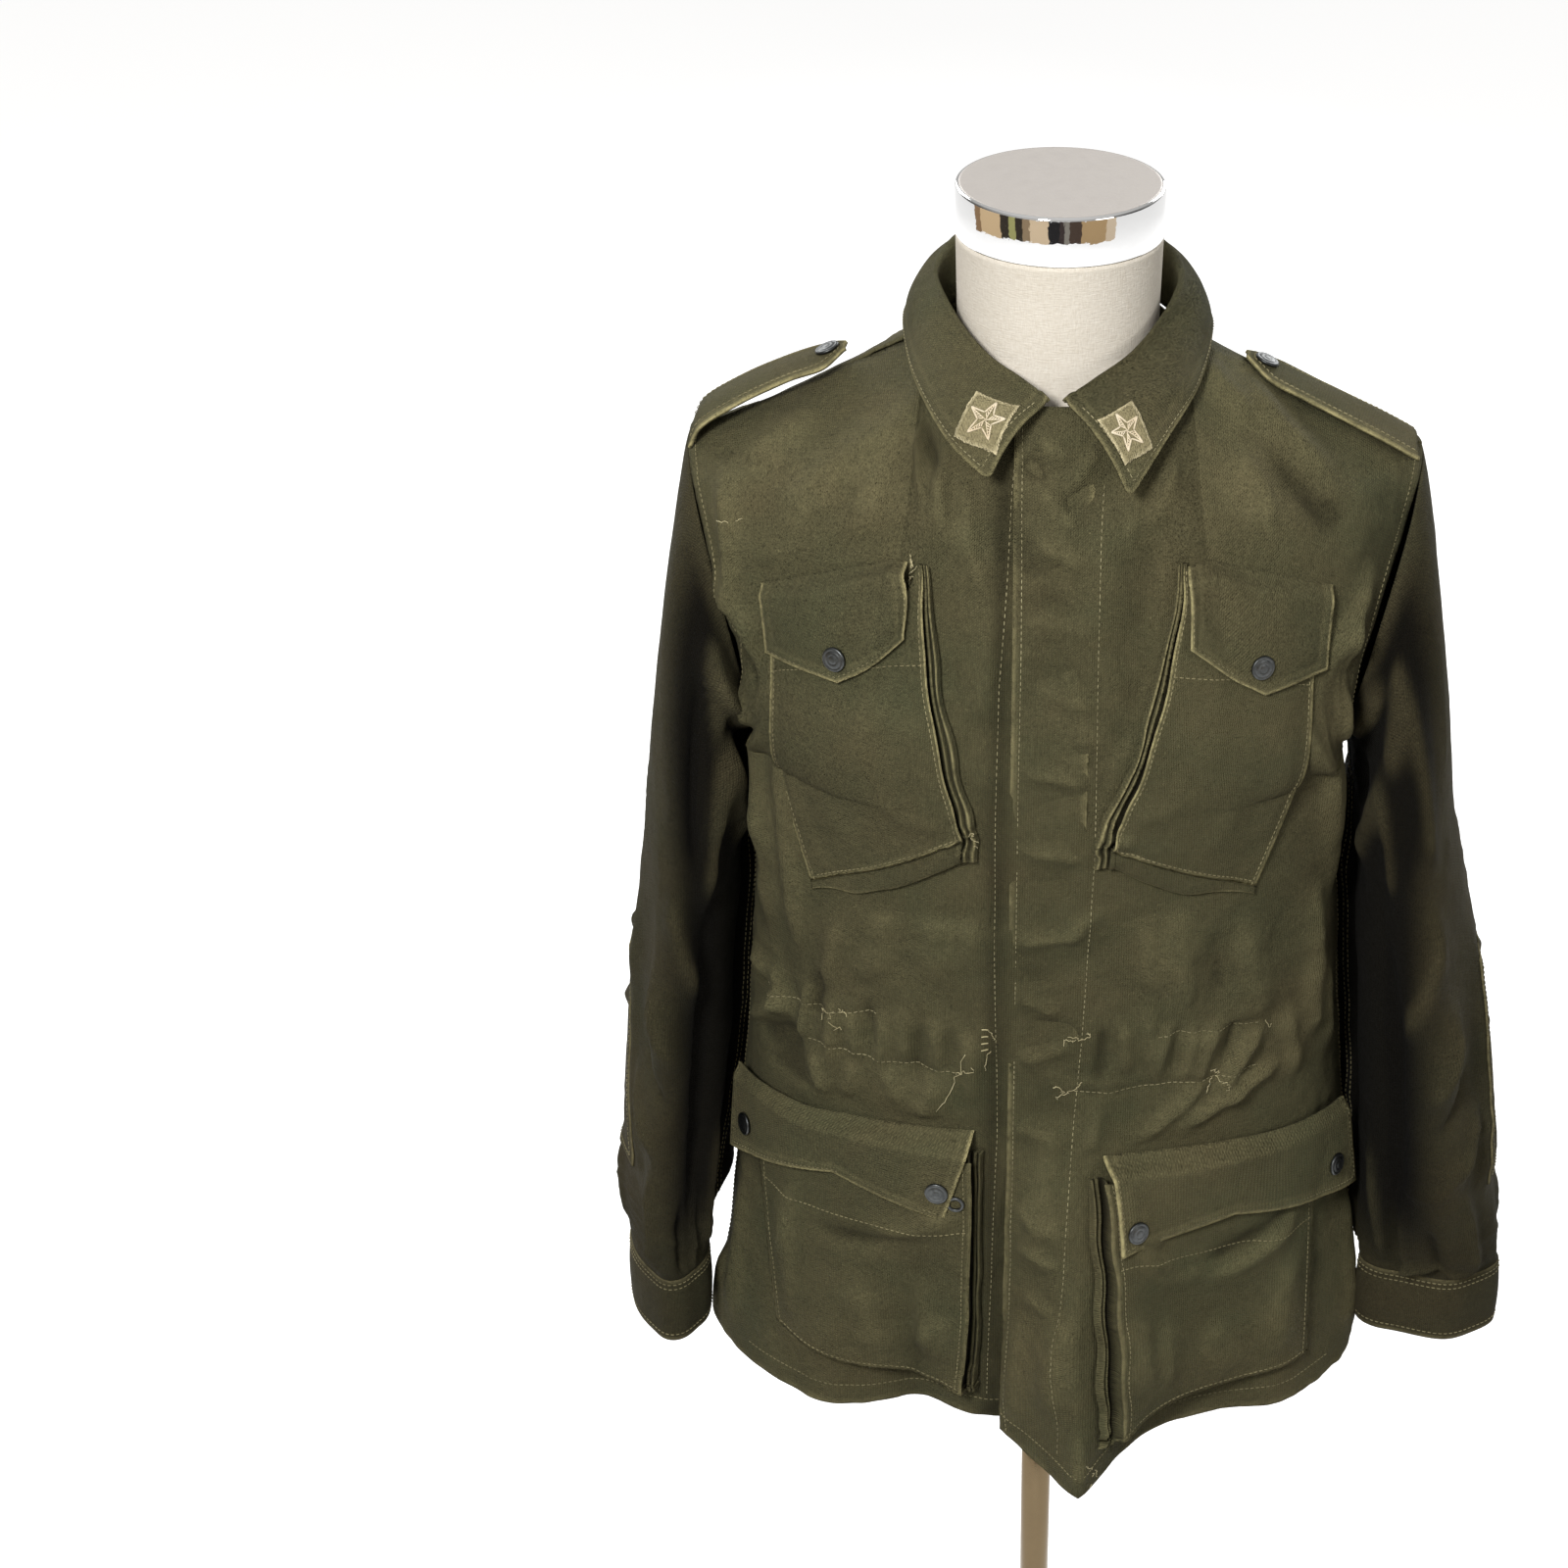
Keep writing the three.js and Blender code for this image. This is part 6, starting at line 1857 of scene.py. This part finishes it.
# The turned metal pieces, each as radii and heights
BAND_PROFILE = (
    (60.8, 1270), (61.3, 1270.4), (61.5, 1271), (61.5, 1298.2), (61.2, 1299.2), (60.5, 1299.8), (59.5, 1300),
)
DISC_PROFILE = ((59.4, 1299.2), (59.4, 1300.05), (58, 1300.1), (0, 1300.1))
POLE_PROFILE = ((10, 8.3), (10, 559.7))
BASE_PROFILE = ((149.5, 0), (150, 0.5), (150, 6.5), (149.2, 7.6), (148, 8), (30, 8), (26, 8.05))
turned_piece("cap_band", BAND_PROFILE, CHROME, ["neck_cap"])
turned_piece("cap_disc", DISC_PROFILE, CAP_TOP, [])
turned_piece("stand_pole", POLE_PROFILE, POLE_METAL, ["pole"], 48)
turned_piece("stand_base", BASE_PROFILE, POLE_METAL, ["base"])


# Floor, light and camera
def glowing_material(name, tone, glow, strength):
    """A plain look that also gives light, for the studio."""
    return Nodes(name).finish(
        Base_Color=tone, Roughness=0.9, Emission_Color=glow, Emission_Strength=strength,
    )


def flat_piece(name, corners, look):
    """A flat sheet of the studio, which isn't part of the object."""
    mesh = bpy.data.meshes.new(name)
    mesh.from_pydata(corners, [], [tuple(range(len(corners)))])
    mesh.materials.append(look)
    sheet = bpy.data.objects.new(name, mesh)
    bpy.context.scene.collection.objects.link(sheet)
    return sheet


FLOOR = {"half": 30, "under": -0.0005, "tone": 0.8, "glow": 0.5}
floor_look = glowing_material("floor_white", (FLOOR["tone"],) * 3 + (1,), (1, 1, 1, 1), FLOOR["glow"])
reach, under = FLOOR["half"], FLOOR["under"]
floor = flat_piece(
    "floor", [(-reach, -reach, under), (reach, -reach, under), (reach, reach, under), (-reach, reach, under)],
    floor_look,
)
floor.visible_diffuse = False

# Cards beyond the camera, low on the floor, that only the polished metal shows: from one turn in degrees
# to another round the object, measured from straight ahead towards the wearer's left
CARDS = {"far": 3.3, "low": 0.0, "high": 1.1, "glow": 0.9}
CARD_ROWS = (
    (-103, -94, (120, 96, 70)),
    (-94, -66, (176, 152, 118)),
    (-66, -56, (38, 32, 24)),
    (-56, -48, (136, 134, 86)),
    (-48, -40, (38, 32, 24)),
    (-40, -32, (124, 106, 82)),
    (-32, -12, (184, 164, 136)),
    (-12, 0, (14, 12, 14)),
    (0, 5, (44, 36, 34)),
    (5, 10, (112, 108, 100)),
    (10, 23, (56, 44, 36)),
    (23, 50, (146, 122, 88)),
    (50, 62, (176, 160, 138)),
)


def studio_cards():
    for i, (start, end, tone) in enumerate(CARD_ROWS):
        corners = []
        for degrees_at, up in ((start, 0), (end, 0), (end, 1), (start, 1)):
            turn = math.radians(degrees_at)
            high = lerp(CARDS["low"], CARDS["high"], up)
            corners.append((CARDS["far"] * math.sin(turn), -CARDS["far"] * math.cos(turn), high))
        look = glowing_material("card_" + str(i), colour(tone), colour(tone), CARDS["glow"])
        card = flat_piece("card_" + str(i), corners, look)
        for ray in ("camera", "diffuse", "shadow", "transmission"):
            setattr(card, "visible_" + ray, False)


studio_cards()

# Light: bright above and in front, dim at the sides and below
SKY = {"dim": 0.04, "front": 0.56, "toward": (-0.12, -0.6, 0.79), "back": 0.45, "behind": (0.1, 0.86, 0.5)}


def studio_world():
    world = bpy.data.worlds.new("studio")
    bpy.context.scene.world = world
    world.use_nodes = True
    tree = world.node_tree
    place = tree.nodes.new("ShaderNodeTexCoord")
    total = None
    for toward, low, bright in ((SKY["toward"], -0.05, SKY["front"]), (SKY["behind"], 0.1, SKY["back"])):
        dot = tree.nodes.new("ShaderNodeVectorMath")
        dot.operation = "DOT_PRODUCT"
        dot.inputs[1].default_value = toward
        ranged = tree.nodes.new("ShaderNodeMapRange")
        ranged.interpolation_type = "SMOOTHSTEP"
        ranged.inputs["From Min"].default_value = low
        ranged.inputs["To Max"].default_value = bright
        tree.links.new(place.outputs["Generated"], dot.inputs[0])
        tree.links.new(dot.outputs["Value"], ranged.inputs["Value"])
        added = tree.nodes.new("ShaderNodeMath")
        added.inputs[0].default_value = SKY["dim"]
        if total:
            tree.links.new(total, added.inputs[0])
        tree.links.new(ranged.outputs["Result"], added.inputs[1])
        total = added.outputs[0]
    background = tree.nodes["Background"]
    background.inputs["Color"].default_value = (1, 0.99, 0.97, 1)
    tree.links.new(total, background.inputs["Strength"])


studio_world()


def area_light(name, place, target, size, power):
    light = bpy.data.lights.new(name, "AREA")
    light.shape = "RECTANGLE"
    light.size = light.size_y = size
    light.energy = power
    lamp = bpy.data.objects.new(name, light)
    lamp.location = place
    lamp.rotation_euler = (Vector(target) - Vector(place)).to_track_quat("-Z", "Y").to_euler()
    bpy.context.scene.collection.objects.link(lamp)


# Each lamp: where it is, what it points at, its side in metres and its power
LAMPS = {
    "key": ((-0.7, -2.15, 2.5), (0, 0, 0.85), 0.5, 64),
    "fill": ((1.8, -1.6, 1.7), (0, 0, 1.0), 0.9, 9),
    "back_left": ((1.3, 2.4, 2.2), (0, 0, 0.9), 1.4, 42),
    "back_right": ((-1.5, 2.2, 2.2), (0, 0, 0.9), 1.4, 34),
}
for lamp_name, lamp_spec in LAMPS.items():
    area_light(lamp_name, *lamp_spec)
bpy.context.scene.view_settings.view_transform = "Standard"

CAMERA = {
    "back": 2.1, "up": 2.06, "pitch": 28.9, "roll": 1.11, "lens": 87.3, "sensor": 36, "shift": -0.169,
}
camera_data = bpy.data.cameras.new("camera")
camera_data.lens = CAMERA["lens"]
camera_data.sensor_width = CAMERA["sensor"]
camera_data.shift_x = CAMERA["shift"]
camera = bpy.data.objects.new("camera", camera_data)
bpy.context.scene.collection.objects.link(camera)
camera.location = (AXIS.x, AXIS.y - CAMERA["back"], CAMERA["up"])
tilt = Matrix.Rotation(math.radians(90 - CAMERA["pitch"]), 3, "X")
camera.rotation_euler = (tilt @ Matrix.Rotation(math.radians(CAMERA["roll"]), 3, "Z")).to_euler()
bpy.context.scene.camera = camera
